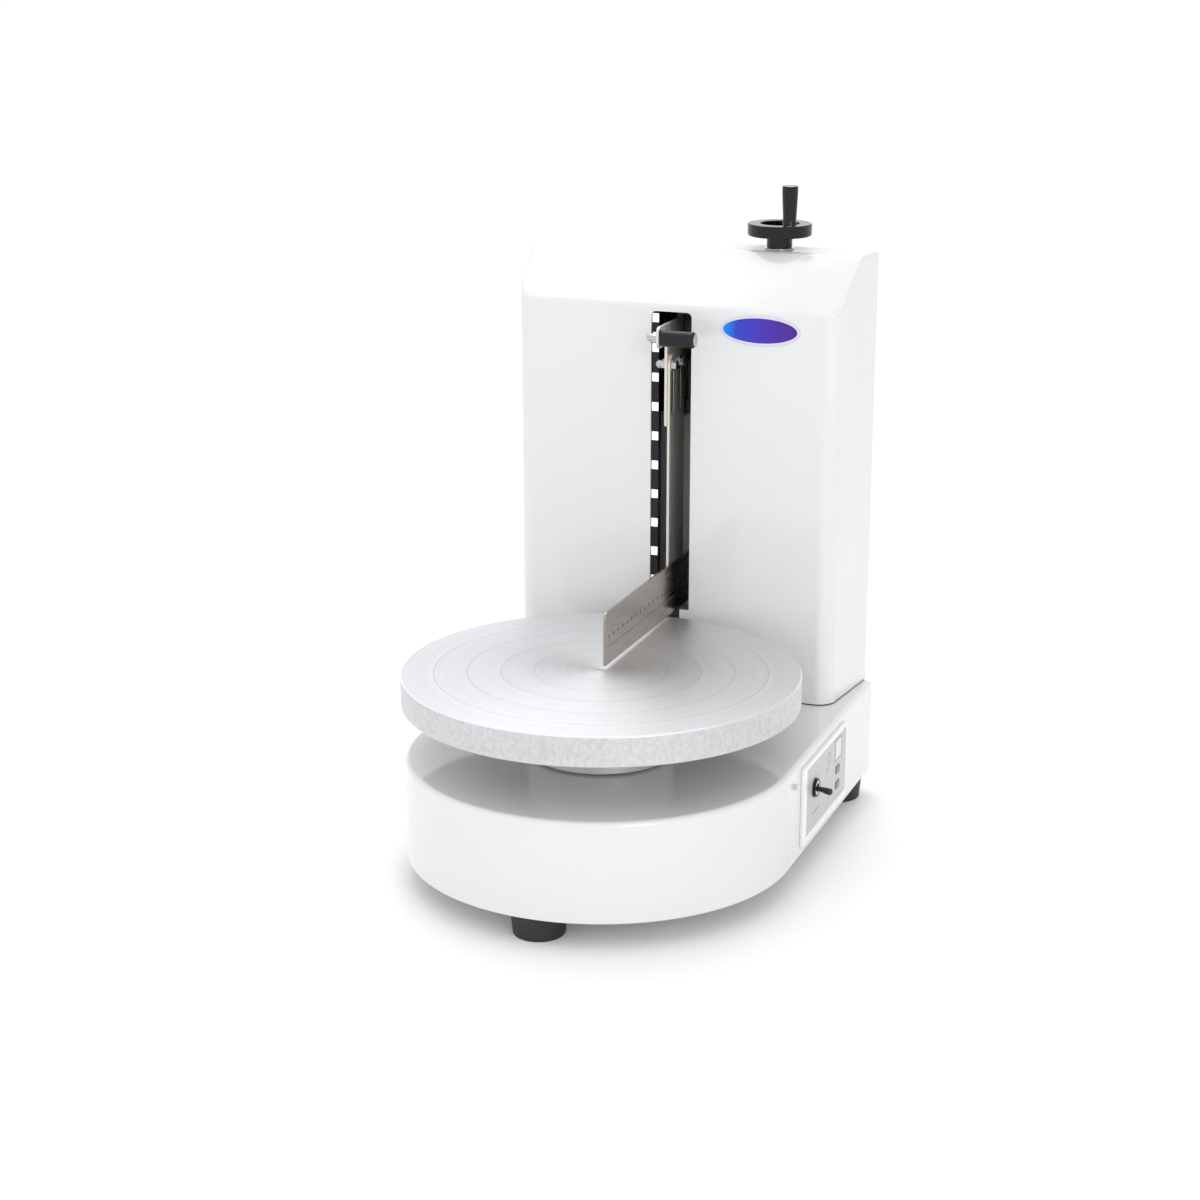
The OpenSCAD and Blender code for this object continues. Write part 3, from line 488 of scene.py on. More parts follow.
def inset(ring, amount):
    """The closed ring moved to its left by amount, so inwards when it runs anticlockwise."""
    made = []
    count = len(ring)
    for i, point in enumerate(ring):
        a = (point - ring[i - 1]).normalized()
        b = (ring[(i + 1) % count] - point).normalized()
        na, nb = Vector((-a.y, a.x)), Vector((-b.y, b.x))
        middle = (na + nb).normalized()
        made.append(point + middle * (amount / max(middle.dot(na), 0.3)))
    return made


def area_of(ring):
    return sum(p.cross(ring[i - 1]) for i, p in enumerate(ring)) / -2


def place(x=0.0, y=0.0, z=0.0, axis="Z"):
    """Matrix from a shape's own millimetres to the frame's metres. axis is where its Z points."""
    tilt = {
        "Z": Matrix.Identity(4),
        "X": Matrix(((0, 0, 1, 0), (1, 0, 0, 0), (0, 1, 0, 0), (0, 0, 0, 1))),
        "-Y": Matrix(((1, 0, 0, 0), (0, 0, -1, 0), (0, 1, 0, 0), (0, 0, 0, 1))),
    }[axis]
    return Matrix.Scale(MM, 4) @ Matrix.Translation((x, y, z)) @ tilt


def lathe(bm, profile, at, steps=96, slots=None):
    """Revolves (radius, height) points. slots gives each stretch's material index."""
    rings = []
    for radius, height in profile:
        if radius < 1e-6:
            rings.append([bm.verts.new(at @ Vector((0, 0, height)))])
            continue
        rings.append([bm.verts.new(at @ p.to_3d() + at.to_3x3() @ Vector((0, 0, height)))
                      for p in circle(0, 0, radius, steps)])
    for k, (a, b) in enumerate(zip(rings, rings[1:])):
        if len(a) == 1 and len(b) == 1:
            continue
        for i in range(steps):
            j = (i + 1) % steps
            corners = [a[i % len(a)], a[j % len(a)], b[j % len(b)], b[i % len(b)]]
            face = bm.faces.new(list(dict.fromkeys(corners)))
            if slots:
                face.material_index = slots[k]


def slab(bm, outline, thick, at, edge=0.2, holes=(), slot=0, steps=3):
    """A flat plate of that outline with rounded edges, from local Z 0 to thick."""
    turns = [math.pi / 2 * k / steps for k in range(steps + 1)]
    rows = [(edge * (1 - math.sin(t)), edge * (1 - math.cos(t))) for t in turns]
    rows += [(sink, thick - height) for sink, height in rows[::-1]]
    loops = []
    for ring in (outline, *holes):
        if (area_of(ring) > 0) != (ring is outline):
            ring = ring[::-1]
        made = []
        for sink, height in rows:
            moved = inset(ring, sink) if sink > 1e-9 else ring
            made.append([bm.verts.new(at @ Vector((p.x, p.y, height))) for p in moved])
        for a, b in zip(made, made[1:]):
            for i in range(len(ring)):
                j = (i + 1) % len(ring)
                bm.faces.new([a[i], a[j], b[j], b[i]]).material_index = slot
        loops.append((inset(ring, edge) if edge else ring, made[0], made[-1]))
    flat = [[p.to_3d() for p in ring] for ring, _, _ in loops]
    for row in (1, 2):
        verts = [v for loop in loops for v in loop[row]]
        for triangle in tessellate_polygon(flat):
            bm.faces.new([verts[k] for k in triangle]).material_index = slot


def finish_piece(name, bm, materials, node, smooth=35):
    """Turns bm into a piece that rides where its CAD node does, and stands for that node."""
    bmesh.ops.remove_doubles(bm, verts=bm.verts, dist=1e-7)
    bmesh.ops.recalc_face_normals(bm, faces=bm.faces)
    mesh = bpy.data.meshes.new(name)
    bm.to_mesh(mesh)
    bm.free()
    for material in materials:
        mesh.materials.append(material)
    mesh.shade_smooth()
    mesh.set_sharp_from_angle(angle=math.radians(smooth))
    piece = bpy.data.objects.new(name, mesh)
    bpy.context.scene.collection.objects.link(piece)
    weights = piece.modifiers.new("normals", "WEIGHTED_NORMAL")
    weights.keep_sharp = True
    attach(piece, BODY_OF[node])
    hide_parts(node)
    return piece


def printed(bm, outline, x, slot, holes=()):
    """Ink on a face that looks along +X: a film a few hundredths of a millimetre thick."""
    slab(bm, outline, 0.04, place(x - 0.01, 0, 0, "X"), 0.01, holes, slot, 1)


def rectangle(y0, z0, y1, z1):
    return [Vector(p) for p in ((y0, z0), (y1, z0), (y1, z1), (y0, z1))]


def arc_band(u, v, radius, width, start, end):
    """Part of a ring round (u, v), from the angle start to the angle end, in degrees."""
    steps = 20
    turns = [math.radians(start + (end - start) * k / steps) for k in range(steps + 1)]
    made = []
    for reach, order in ((radius + width / 2, turns), (radius - width / 2, turns[::-1])):
        made += [Vector((u + reach * math.cos(t), v + reach * math.sin(t))) for t in order]
    return made


def copy_of(node):
    """The CAD node's shape as a bmesh, with its flat faces whole again."""
    bm = bmesh.new()
    bm.from_mesh(frame["nodes"][node].data)
    bmesh.ops.remove_doubles(bm, verts=bm.verts, dist=2e-6)
    bmesh.ops.dissolve_limit(
        bm, angle_limit=math.radians(0.6), verts=bm.verts, edges=bm.edges, delimit={"NORMAL"}
    )
    return bm


def softened(node, edge, material=None, second=None, picks=None):
    """Stands for a CAD node with the same shape and rounded edges. picks(centre) marks faces that
    take the second material."""
    sharp = math.radians(38)
    bm = copy_of(node)
    for face in bm.faces:
        face.material_index = 1 if picks and picks(face.calc_center_median() / MM) else 0
    corners = [e for e in bm.edges if len(e.link_faces) == 2 and e.calc_face_angle() > sharp]
    bmesh.ops.bevel(
        bm, geom=corners, offset=edge * MM, segments=2, profile=0.5, affect="EDGES",
        clamp_overlap=True, harden_normals=False,
    )
    materials = [material or LOOKS[SLOT_OF[node]]] + ([second] if second else [])
    return finish_piece(node + "_detail", bm, materials, node)


make_camera()
make_world()
make_lights()
make_stage()


# ---------- turntable ----------


def make_plate():
    """The plate: ringed top with grooves darkened as painted shade, bright chamfers, mottled side, and
    an underside darker than cast aluminium, partly its own plain finish and partly painted shade.
    """
    thick = -plate_low.z
    chamfer, groove_w, groove_d = 0.9, 0.24, 0.1
    top = [(0, 0), (1.6, 0), (1.9, -0.5), (2.2, 0)]
    for k in range(1, 6):
        r = k * RING_PITCH
        top += [(r - groove_w / 2, 0), (r, -groove_d), (r + groove_w / 2, 0)]
    edge = fillet([
        (PLATE_R - 6, 0), (PLATE_R - chamfer, 0, 0.3), (PLATE_R, -chamfer, 0.3), (PLATE_R, -6),
    ], steps=3)
    foot = fillet([
        (PLATE_R, 6 - thick), (PLATE_R, chamfer - thick, 0.3), (PLATE_R - chamfer, -thick, 0.3),
        (PLATE_R - 6, -thick),
    ], steps=3)
    profile = [Vector(p) for p in top] + edge + foot + [Vector((0, -thick))]
    top_look, side_look, rim_look, groove_shade_look, under_shade_look = range(5)
    slots = []
    for a, b in zip(profile, profile[1:]):
        level = abs(a.y - b.y) < 1e-4
        if abs(a.x - b.x) < 1e-4:
            slots.append(side_look)
        elif level:
            # the underside's darker material is partly painted shade
            slots.append(under_shade_look if a.y < -1 else top_look)
        else:
            # groove faces take the painted shade
            slots.append(rim_look if a.x > PLATE_R - 2 else groove_shade_look)
    bm = bmesh.new()
    lathe(bm, profile, place(), 256, slots)
    looks = [LOOKS["turned_aluminium"], PLATE_SIDE, PLATE_EDGE, GROOVE_SHADE, PLATE_BELOW_SHADED]
    finish_piece("turntable_top", bm, looks, "turntable_plate", smooth=20)


def make_hub():
    """The hub under the plate: a turned skirt that stops just over the base."""
    low, high = box("turntable_hub")
    r = high.x
    height = high.z - low.z
    bore_r, web_z = 13, height - 10
    outer = fillet([
        (r - 6, 0), (r, 0, 0.8), (r, height - 3, 0.4), (r - 1.2, height - 2.2, 0.4), (r - 1.2, height),
    ], steps=3)
    start = Vector((bore_r, web_z))
    profile = [start, Vector((r - 6, web_z)), *outer, Vector((bore_r, height)), start]
    bm = bmesh.new()
    lathe(bm, profile, place(z=low.z), 160)
    finish_piece("hub_skirt", bm, [LOOKS["turned_aluminium"]], "turntable_hub")


# ---------- base ----------


def base_outline(sink=0.0, back_r=3.0):
    """Plan of the base: straight sides and a half-round front, drawn sink inside its faces."""
    r = BASE_R - sink
    back = base_high.y - sink
    front = [Vector((r * math.cos(t), r * math.sin(t)))
             for t in (math.pi + math.pi * k / 96 for k in range(97))]
    corners = fillet([front[-1], (r, back, back_r), (-r, back, back_r), front[0]], steps=4)
    return front + corners[1:-1]


def cut(piece, build):
    """Cuts the shape that build(bm) draws out of a piece, and keeps the result as its mesh."""
    bm = bmesh.new()
    build(bm)
    bmesh.ops.recalc_face_normals(bm, faces=bm.faces)
    tool_mesh = bpy.data.meshes.new("tool")
    bm.to_mesh(tool_mesh)
    bm.free()
    tool = bpy.data.objects.new("tool", tool_mesh)
    bpy.context.scene.collection.objects.link(tool)
    for _ in piece.data.materials[1:]:
        tool_mesh.materials.append(None)
    boolean = piece.modifiers.new("cut", "BOOLEAN")
    boolean.object = tool
    boolean.solver = "EXACT"
    bpy.context.view_layer.update()
    graph = bpy.context.evaluated_depsgraph_get()
    made = bpy.data.meshes.new_from_object(piece.evaluated_get(graph))
    piece.modifiers.clear()
    old = piece.data
    piece.data = made
    bpy.data.meshes.remove(old)
    bpy.data.objects.remove(tool)
    bpy.data.meshes.remove(tool_mesh)


def loose(bm, name, materials):
    """A plain object from bm, to be cut before it becomes a piece."""
    bmesh.ops.remove_doubles(bm, verts=bm.verts, dist=1e-7)
    bmesh.ops.recalc_face_normals(bm, faces=bm.faces)
    mesh = bpy.data.meshes.new(name)
    bm.to_mesh(mesh)
    bm.free()
    for material in materials:
        mesh.materials.append(material)
    made = bpy.data.objects.new(name, mesh)
    bpy.context.scene.collection.objects.link(made)
    return made


def as_piece(made, node, smooth=35):
    """Makes a cut object into a piece that stands for its CAD node."""
    bm = bmesh.new()
    bm.from_mesh(made.data)
    materials = list(made.data.materials)
    name = made.name
    mesh = made.data
    bpy.data.objects.remove(made)
    bpy.data.meshes.remove(mesh)
    return finish_piece(name, bm, materials, node, smooth)


def block(bm, low, high):
    """A box from corner to corner, in millimetres."""
    size = Vector(high) - Vector(low)
    middle = (Vector(high) + Vector(low)) / 2
    matrix = Matrix.Translation(middle * MM) @ Matrix.Diagonal((*(size * MM), 1))
    bmesh.ops.create_cube(bm, size=1, matrix=matrix)


def rod(bm, at, radius, length, steps=48):
    """A plain cylinder along the placement's Z."""
    lathe(bm, [(0, 0), (radius, 0), (radius, length), (0, length)], at, steps)


def make_base():
    """The housing: one enamelled sheet shell with a rounded top edge, open below."""
    wall, edge = 2.5, 4.0
    height = base_high.z - base_low.z
    steps = 6
    rows = [(0.0, 0.6), (0.0, height - edge)]
    rows += [(edge * (1 - math.cos(t)), height - edge * (1 - math.sin(t)))
             for t in (math.pi / 2 * k / steps for k in range(1, steps + 1))]
    rows = [(0.5, 0.0)] + rows
    bm = bmesh.new()
    loops = []
    ring = base_outline()
    for sink, z in rows:
        moved = inset(ring, sink) if sink else ring
        loops.append([bm.verts.new(Vector((p.x, p.y, base_low.z + z)) * MM) for p in moved])
    inner = base_outline(wall, 1.5)
    for z in (height - wall, 0.0):
        loops.insert(0, [bm.verts.new(Vector((p.x, p.y, base_low.z + z)) * MM) for p in inner])
    for a, b in zip(loops, loops[1:]):
        for i in range(len(a)):
            j = (i + 1) % len(a)
            bm.faces.new([a[i], a[j], b[j], b[i]])
    bm.faces.new(loops[-1])
    bm.faces.new(loops[0][::-1])
    shell = loose(bm, "base_housing", [LOOKS["white_paint"]])
    bearing_r, shaft_r, switch_r, gland_r = 36.2, 10, 6, 8
    gap = Vector((0, 0.3, 0.3))
    bezel = (bezel_low + bezel_high) / 2
    gland_low, gland_high = box("cord_gland")
    gland = (gland_low + gland_high) / 2

    def openings(tool):
        rod(tool, place(z=BASE_TOP - 10), bearing_r, 20, 96)
        rod(tool, place(WHEEL.x, WHEEL.y, BASE_TOP - 10), shaft_r, 20)
        for node in ("button_up", "button_down", "display_window"):
            low, high = box(node)
            low.x, high.x = BASE_R - 12, BASE_R + 5
            block(tool, low - gap, high + gap)
        rod(tool, place(BASE_R - 5, bezel.y, bezel.z, "X"), switch_r, 10)
        rod(tool, place(gland.x, base_high.y + 2, gland.z, "-Y"), gland_r, 8)

    cut(shell, openings)
    as_piece(shell, "base_shell", 25)


def make_feet():
    """Tapered rubber feet with a moulded ring and a washer recess below."""
    height = feet_high.z - feet_low.z
    top_r, low_r = 21.0, 19.4
    low, high = feet_low, feet_high
    front = Vector((0, low.y + top_r))
    backs = [Vector((s * (high.x - top_r), high.y - top_r)) for s in (-1, 1)]
    outer = fillet([
        (0.0, height), (top_r, height, 1.2), (top_r, height - 3, 1.0), (low_r + 0.2, 2.6, 0.8),
        (low_r, 0, 1.4), (8.2, 0, 0.6), (7, 1.2, 0.4), (7, height / 2, 0.5), (0.0, height / 2),
    ], steps=4)
    bm = bmesh.new()
    for spot in [front, *backs]:
        lathe(bm, outer, place(spot.x, spot.y, low.z), 72)
    finish_piece("feet", bm, [LOOKS["rubber"]], "rubber_feet")


# ---------- tower ----------

TOWER_FRONT = tower_low.y
TOWER_BACK = tower_high.y
CREASE_Z = 253.0
FLAT_Y = 212.0
CORNER_R = 15.0
HALF_FRONT = 135.0


def tower_plan(sink=0.0):
    """Plan of the tower, anticlockwise from the back left: sides that widen to the back, round front."""
    steps = 14
    flare = math.atan((tower_high.x - HALF_FRONT) / (TOWER_BACK - TOWER_FRONT))
    r = CORNER_R - sink
    front = TOWER_FRONT + sink
    side = lambda y: HALF_FRONT - sink + math.tan(flare) * (y - TOWER_FRONT)
    cy = front + r
    cx = side(cy) - r / math.cos(flare)
    arc = [Vector((cx + r * math.sin(t), cy - r * math.cos(t)))
           for t in ((math.pi / 2 + flare) * k / steps for k in range(steps + 1))]
    right = arc + [Vector((side(FLAT_Y), FLAT_Y)), Vector((side(TOWER_BACK), TOWER_BACK))]
    left = [Vector((-p.x, p.y)) for p in right[::-1]]
    return left + right


def hood_z(y, sink=0.0):
    """Height of the hood over a distance from the axis."""
    lean = math.atan((tower_high.z - CREASE_Z) / (FLAT_Y - TOWER_FRONT))
    rise = CREASE_Z + (y - TOWER_FRONT) * math.tan(lean) - sink / math.cos(lean)
    return min(rise, tower_high.z - sink)


def make_tower():
    """The cover: folded and welded sheet with a leaning hood, a slot in front, open at the back."""
    wall = 2.0
    plan = tower_plan()
    bm = bmesh.new()
    low = [bm.verts.new(Vector((p.x, p.y, tower_low.z)) * MM) for p in plan]
    top = [bm.verts.new(Vector((p.x, p.y, hood_z(p.y))) * MM) for p in plan]
    count = len(plan)
    for i in range(count - 1):
        bm.faces.new([low[i], low[i + 1], top[i + 1], top[i]])
    bm.faces.new([low[-1], low[0], top[0], top[-1]])
    bm.faces.new(low[::-1])
    bm.faces.new(top[1:-1])
    bm.faces.new([top[0], top[1], top[-2], top[-1]])
    bm.normal_update()
    rims = [e for e in bm.edges
            if min(v.co.z for v in e.verts) > (CREASE_Z - 1) * MM
            and not (e.verts[0] in (top[0], top[-1]) and e.verts[1] in (top[0], top[-1]))]
    bmesh.ops.bevel(bm, geom=rims, offset=2.6 * MM, segments=5, profile=0.5, affect="EDGES",
                    clamp_overlap=True)
    cover = loose(bm, "tower_hood", [LOOKS["white_paint"]])

    def hollow(tool):
        inner = tower_plan(wall)
        inner[0] = Vector((inner[0].x - 0.3, TOWER_BACK + 20))
        inner[-1] = Vector((inner[-1].x + 0.3, TOWER_BACK + 20))
        bottom = [tool.verts.new(Vector((p.x, p.y, tower_low.z - 20)) * MM) for p in inner]
        roof = [tool.verts.new(Vector((p.x, p.y, hood_z(p.y, wall))) * MM) for p in inner]
        for i in range(len(inner)):
            j = (i + 1) % len(inner)
            tool.faces.new([bottom[i], bottom[j], roof[j], roof[i]])
        tool.faces.new(bottom[::-1])
        tool.faces.new(roof[1:-1])
        tool.faces.new([roof[0], roof[1], roof[-2], roof[-1]])

    cut(cover, hollow)

    def slot_and_shaft(tool):
        left, right, foot, top_z = -19.5, 14.5, 3.5, 248.5
        notch_left, notch_right, notch_foot = -5.5, 6.5, foot - 14
        shape = fillet([
            (left, foot), (notch_left, foot), (notch_left, notch_foot, 1.5),
            (notch_right, notch_foot, 1.5), (notch_right, foot), (right, foot, 1.0),
            (right, top_z, 4), (left, top_z, 4),
        ], closed=True)
        slab(tool, shape, 12, place(0, TOWER_FRONT + 8, 0, "-Y"), 0.0001)
        rod(tool, place(WHEEL.x, WHEEL.y, tower_high.z - 10), 8, 20)

    cut(cover, slot_and_shaft)
    as_piece(cover, "tower_cover", 25)


# ---------- hand wheel ----------


def make_wheel():
    """The wheel: a moulded rim and dish over a flared hub."""
    foot, top = wheel_low.z, wheel_high.z
    rim_foot = top - 9.8
    profile = fillet([
        (6.0, foot), (10.3, foot, 0.6), (10.3, rim_foot - 0.2, 3.0), (15, rim_foot, 0.6),
        (WHEEL_R, rim_foot, 1.6), (WHEEL_R, top, 1.0), (15.6, top, 0.8), (15.6, top - 7.8, 2.0),
        (10.5, top - 7.8, 1.6), (10.5, top - 4, 1.2), (6.0, top - 4),
    ], steps=6)
    bm = bmesh.new()
    lathe(bm, profile + [profile[0]], place(WHEEL.x, WHEEL.y, 0), 128)
    finish_piece("wheel_rim", bm, [LOOKS["black_plastic"]], "hand_wheel", smooth=50)


def make_grip():
    """The revolving grip: slim at the foot, full at the top, with a recess at the top for the cap of its
    pin.
    """
    foot, length = grip_low.z, grip_high.z - grip_low.z
    profile = fillet([
        (2.6, 0), (5.9, 0, 0.4), (5.7, 1.2, 0.5), (5.3, 3.4, 3), (5.75, 13, 20), (6.35, 25, 12),
        (6.4, length, 0.8),
        (4.4, length, 0.4), (4.4, length - 2.2, 0.2), (2.6, length - 2.2), (2.6, 0),
    ], steps=5)
    bm = bmesh.new()
    lathe(bm, profile, place(GRIP.x, GRIP.y, foot), 72)
    finish_piece("grip_sleeve", bm, [LOOKS["black_plastic"]], "revolving_grip", smooth=50)


# ---------- scrapers and arm ----------


def make_sleeve():
    """The pull handle: a black tube with rounded ends and a recess for the bolt's head."""
    y = (sleeve_low.y + sleeve_high.y) / 2
    z = (sleeve_low.z + sleeve_high.z) / 2
    r = (sleeve_high.y - sleeve_low.y) / 2
    length = sleeve_high.x - sleeve_low.x
    profile = fillet([
        (3.08, 0), (r - 0.9, 0, 0.3), (r, 1.1, 0.5), (r, length - 1.4, 0.9), (r - 1.4, length, 0.5),
        (4.3, length, 0.3), (4.3, length - 1.8, 0.2), (3.08, length - 1.8), (3.08, 0),
    ], steps=4)
    bm = bmesh.new()
    lathe(bm, profile, place(sleeve_low.x, y, z, "X"), 72)
    finish_piece("pull_handle", bm, [LOOKS["handle_black"]], "handle_sleeve", smooth=50)


def make_blade():
    """The level blade: a thin plate with a scribed line and a row of radius ticks."""
    low, high = blade_low, blade_high
    outline = fillet([(low.y, low.z, 0.8), (high.y, low.z, 0.5), (high.y, high.z, 0.5),
                      (low.y, high.z, 5.5)], closed=True, steps=8)
    holes = [circle(y, z, 2) for y, z in ((196, 14), (196, 34), (205, 24))]
    bm = bmesh.new()
    slab(bm, outline, high.x - low.x, place(low.x, 0, 0, "X"), 0.25, holes)
    printed(bm, rectangle(4, 16.9, 158, 17.4), high.x, 2)
    for k in range(15):
        y = 7.5 + 10 * k
        tall = 3.4 if k % 2 else 2.4
        printed(bm, rectangle(y - 0.8, 23.6, y + 0.8, 23.6 + tall), high.x, 1)
    finish_piece("level_blade", bm, [BLADE_STEEL, INK_AND_SLOT_SHADE, BLADE_SCRIBE], "scraper_blade")


def make_steel_parts():
    """The side scraper, its slot walls painted black as painted shade, the bracket and the fasteners."""
    low, high = box("side_scraper")
    margin = 3

    # faces inside the scraper's slots, painted black as painted shade
    def slot_wall_shade(centre):
        return (
            low.x + 0.25 < centre.x < high.x - 0.25
            and low.y + margin < centre.y < high.y - margin
            and low.z + margin < centre.z < high.z - margin
        )

    softened("side_scraper", 0.2, SIDE_STEEL, INK_AND_SLOT_SHADE, slot_wall_shade)
    softened("handle_bracket", 0.3, SIDE_STEEL)
    for node in ("clamp_bolts", "acorn_nuts", "handle_bolt", "blade_screws"):
        softened(node, 0.3, BRIGHT_STEEL)


# ---------- badge and panel ----------


def make_badge():
    """A domed oval badge with a pale rim and no lettering."""
    a = (badge_high.x - badge_low.x) / 2
    b = (badge_high.z - badge_low.z) / 2
    x = (badge_low.x + badge_high.x) / 2
    z = (badge_low.z + badge_high.z) / 2
    thick = badge_high.y - badge_low.y
    rim = 2.2
    rows = [(0, 0.0, 1), (0, thick - 0.5, 1), (0.35, thick - 0.1, 1), (rim, thick - 0.1, 1),
            (rim + 0.05, thick - 0.3, 0)]
    rows += [(rim + (b - rim - 0.4) * k / 7, thick - 0.3 + 0.3 * math.sin(math.pi / 2 * k / 7), 0)
             for k in range(1, 8)]
    bm = bmesh.new()
    at = place(x, badge_high.y, z, "-Y")
    steps = 96
    loops = []
    turns = [math.tau * k / steps for k in range(steps)]
    for sink, height, _ in rows:
        ring = [((a - sink) * math.cos(t), (b - sink) * math.sin(t), height) for t in turns]
        loops.append([bm.verts.new(at @ Vector(p)) for p in ring])
    for k, (low, high) in enumerate(zip(loops, loops[1:])):
        for i in range(steps):
            j = (i + 1) % steps
            bm.faces.new([low[i], low[j], high[j], high[i]]).material_index = rows[k + 1][2]
    bm.faces.new(loops[-1]).material_index = 0
    bm.faces.new(loops[0][::-1]).material_index = 1
    finish_piece("oval_badge", bm, [LOOKS["badge_blue"], BADGE_RIM], "badge", smooth=40)


def ring_yz(low, high, radius):
    """Rounded rectangle as (y, z) points."""
    corners = [(low.y, low.z, radius), (high.y, low.z, radius), (high.y, high.z, radius),
               (low.y, high.z, radius)]
    return fillet(corners, closed=True, steps=4)


def make_panel():
    """The panel: a raised white frame round a grey film with plain printed symbols."""
    bm = bmesh.new()
    outer = ring_yz(frame_low, frame_high, 2.0)
    gap = Vector((0, 0.1, 0.1))
    inner = ring_yz(label_low - gap, label_high + gap, 1.0)
    slab(bm, outer, frame_high.x - frame_low.x, place(frame_low.x, 0, 0, "X"), 0.7, [inner], steps=4)
    finish_piece("panel_rim", bm, [LOOKS["panel_frame"]], "control_panel_frame", smooth=40)

    bezel = (bezel_low + bezel_high) / 2
    face = label_high.x
    openings = [circle(bezel.y, bezel.z, 6)]
    for node in ("button_up", "button_down", "display_window"):
        low, high = box(node)
        low.z, high.z = max(low.z, label_low.z), min(high.z, label_high.z)
        openings.append(ring_yz(low - gap, high + gap, 0.4))
    bm = bmesh.new()
    slab(bm, ring_yz(label_low, label_high, 1.0), face - label_low.x, place(label_low.x, 0, 0, "X"),
         0.15, openings)
    window_low, window_high = box("display_window")
    y0, y1, z0, z1 = window_low.y, window_high.y, window_low.z, window_high.z
    printed(bm, rectangle(y0 - 2.0, z0 - 2.2, y1 + 3.2, z1 + 1.3), face, 2,
            [rectangle(y0 - 1.5, z0 - 1.7, y1 + 2.4, z1 + 0.8)])
    turn_y, turn_z = 104.5, -87.0
    printed(bm, arc_band(turn_y, turn_z, 4.6, 0.8, -60, 215), face, 1)
    head = ((0.6, -6.0), (4.4, -5.6), (2.6, -2.4))
    printed(bm, [Vector((turn_y + u, turn_z + v)) for u, v in head], face, 1)
    for k in range(3):
        printed(bm, rectangle(95.5 + 3 * k, -96.5, 97.3 + 3 * k, -95.0 + 0.8 * k), face, 1)
    for k in range(5):
        printed(bm, rectangle(57.5 + 4.4 * k, -118.3, 60.9 + 4.4 * k, -116.9), face, 1)
    printed(bm, [Vector(p) for p in ((101.6, -118.4), (103.2, -121.6), (104.8, -118.4))], face, 3)
    finish_piece("panel_film", bm, [LOOKS["label_grey"], ICON_GREY, ICON_DARK, ICON_RED], "panel_label")


def make_window():
    """The reading window: a white pane with rounded edges."""
    low, high = box("display_window")
    bm = bmesh.new()
    slab(bm, ring_yz(low, high, 0.6), high.x - low.x, place(low.x, 0, 0, "X"), 0.3)
    finish_piece("window_pane", bm, [LOOKS["display"]], "display_window")


def make_keys():
    """The two speed keys: dark pads, nearly flush, with a red arrow each."""
    for node, up in (("button_up", 1), ("button_down", -1)):
        low, high = box(node)
        y = (low.y + high.y) / 2
        z = (low.z + high.z) / 2
        bm = bmesh.new()
        slab(bm, ring_yz(low, high, 0.8), high.x - base_high.x, place(base_high.x, 0, 0, "X"), 0.25)
        block(bm, (low.x, y - 2, z - 2), (base_high.x + 0.2, y + 2, z + 2))
        arrow = [Vector((y + u, z + up * v)) for u, v in ((-2.6, -1.5), (2.6, -1.5), (0, 1.7))]
        printed(bm, arrow, high.x, 1)
        finish_piece(node + "_pad", bm, [KEY_GREY, ICON_RED], node)


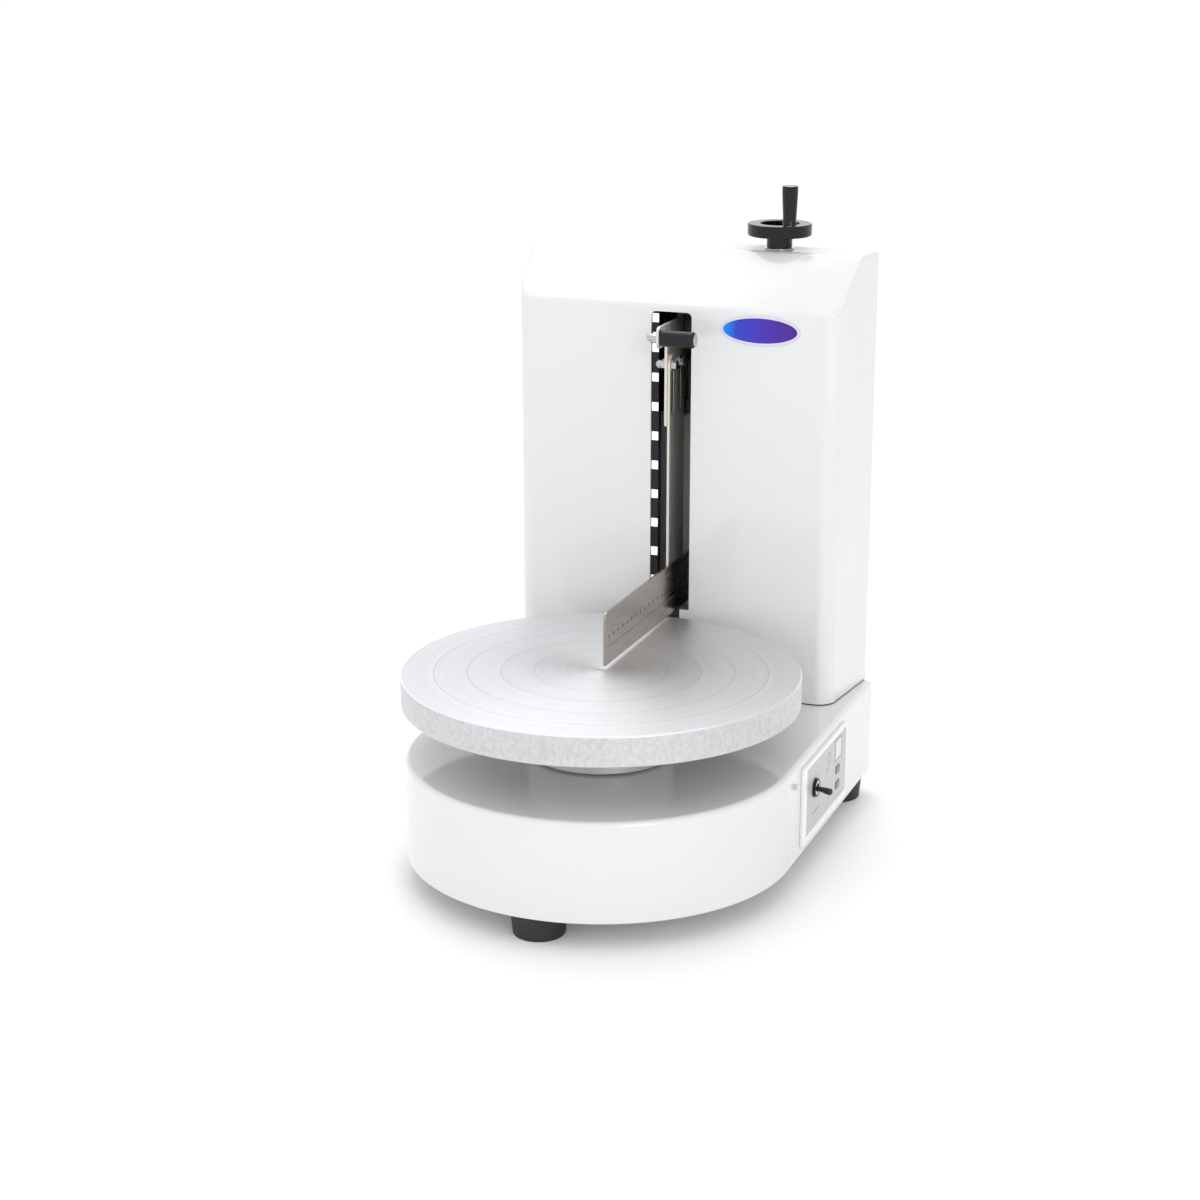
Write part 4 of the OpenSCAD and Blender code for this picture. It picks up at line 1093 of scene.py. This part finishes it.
def make_toggle():
    """The switch: a black ring nut, a plated bush and a tapered lever on its cross pin."""
    bezel = (bezel_low + bezel_high) / 2
    thick = bezel_high.x - bezel_low.x
    bm = bmesh.new()
    profile = fillet([(5.6, 0), (7.5, 0, 0.2), (7.5, thick, 0.8), (5.6, thick, 0.5), (5.6, 0)], steps=4)
    lathe(bm, profile, place(bezel_low.x, bezel.y, bezel.z, "X"), 72)
    finish_piece("ring_nut", bm, [LOOKS["black_plastic"]], "toggle_bezel", smooth=50)

    softened("toggle_switch_body", 0.25, LOOKS["black_plastic"], BRIGHT_STEEL,
             lambda centre: centre.x > base_high.x - 3)

    pivot = Vector(JOINTS["toggle_flip"]["pos_m"]) / MM
    lean = Matrix.Rotation(math.radians(JOINTS["toggle_flip"]["range_deg"][1] / 2), 4, "X")
    profile = fillet([
        (0, -3), (1.8, -2.9, 1.4), (3.0, -0.6, 1.0), (2.6, 1.6, 0.8), (1.8, 2.6, 0.6), (1.8, 5, 4),
        (2.7, 12.2, 4), (2.7, 15.8, 2.2), (0, 15.8),
    ], steps=5)
    bm = bmesh.new()
    lathe(bm, profile, place(*pivot, "X") @ lean, 48)
    rod(bm, place(pivot.x, pivot.y + 4.6, pivot.z, "-Y"), 1.0, 9.2, 24)
    finish_piece("lever", bm, [LEVER_BLACK], "toggle_lever", smooth=50)


EDGES = {
    "base_plate": 0.4, "chassis_posts": 0.4, "cord_gland": 0.6, "bearing_housing": 0.6,
    "motor_bracket": 0.4, "gear_motor": 1.2, "driven_pulley": 0.5, "motor_pulley": 0.4,
    "control_board": 0.1, "tower_gasket": 0.2, "tower_back_panel": 0.3, "slot_liners": 0.3,
    "scale_marks": 0.05, "mast_frame": 0.8, "arm_guide": 0.6, "blade_carriage": 0.8,
    "drive_belt": 0.3,
}
DEFAULT_EDGE = 0.25


def make_the_rest(done):
    """Every other CAD node keeps its shape and gets rounded edges."""
    for node in frame["nodes"]:
        if node not in done:
            softened(node, EDGES.get(node, DEFAULT_EDGE))


make_plate()
make_hub()
make_base()
make_feet()
make_tower()
make_wheel()
make_grip()
make_sleeve()
make_blade()
make_steel_parts()
make_badge()
make_panel()
make_window()
make_keys()
make_toggle()
make_the_rest({
    "turntable_plate", "turntable_hub", "base_shell", "rubber_feet", "tower_cover", "hand_wheel",
    "revolving_grip", "handle_sleeve", "scraper_blade", "side_scraper", "handle_bracket",
    "clamp_bolts", "acorn_nuts", "handle_bolt", "blade_screws", "badge", "control_panel_frame",
    "panel_label", "display_window", "button_up", "button_down", "toggle_bezel",
    "toggle_switch_body", "toggle_lever",
})

for node_name, node in frame["nodes"].items():
    node.data.materials.clear()
    node.data.materials.append(LOOKS[SLOT_OF[node_name]])

bpy.context.scene.view_settings.view_transform = "Standard"
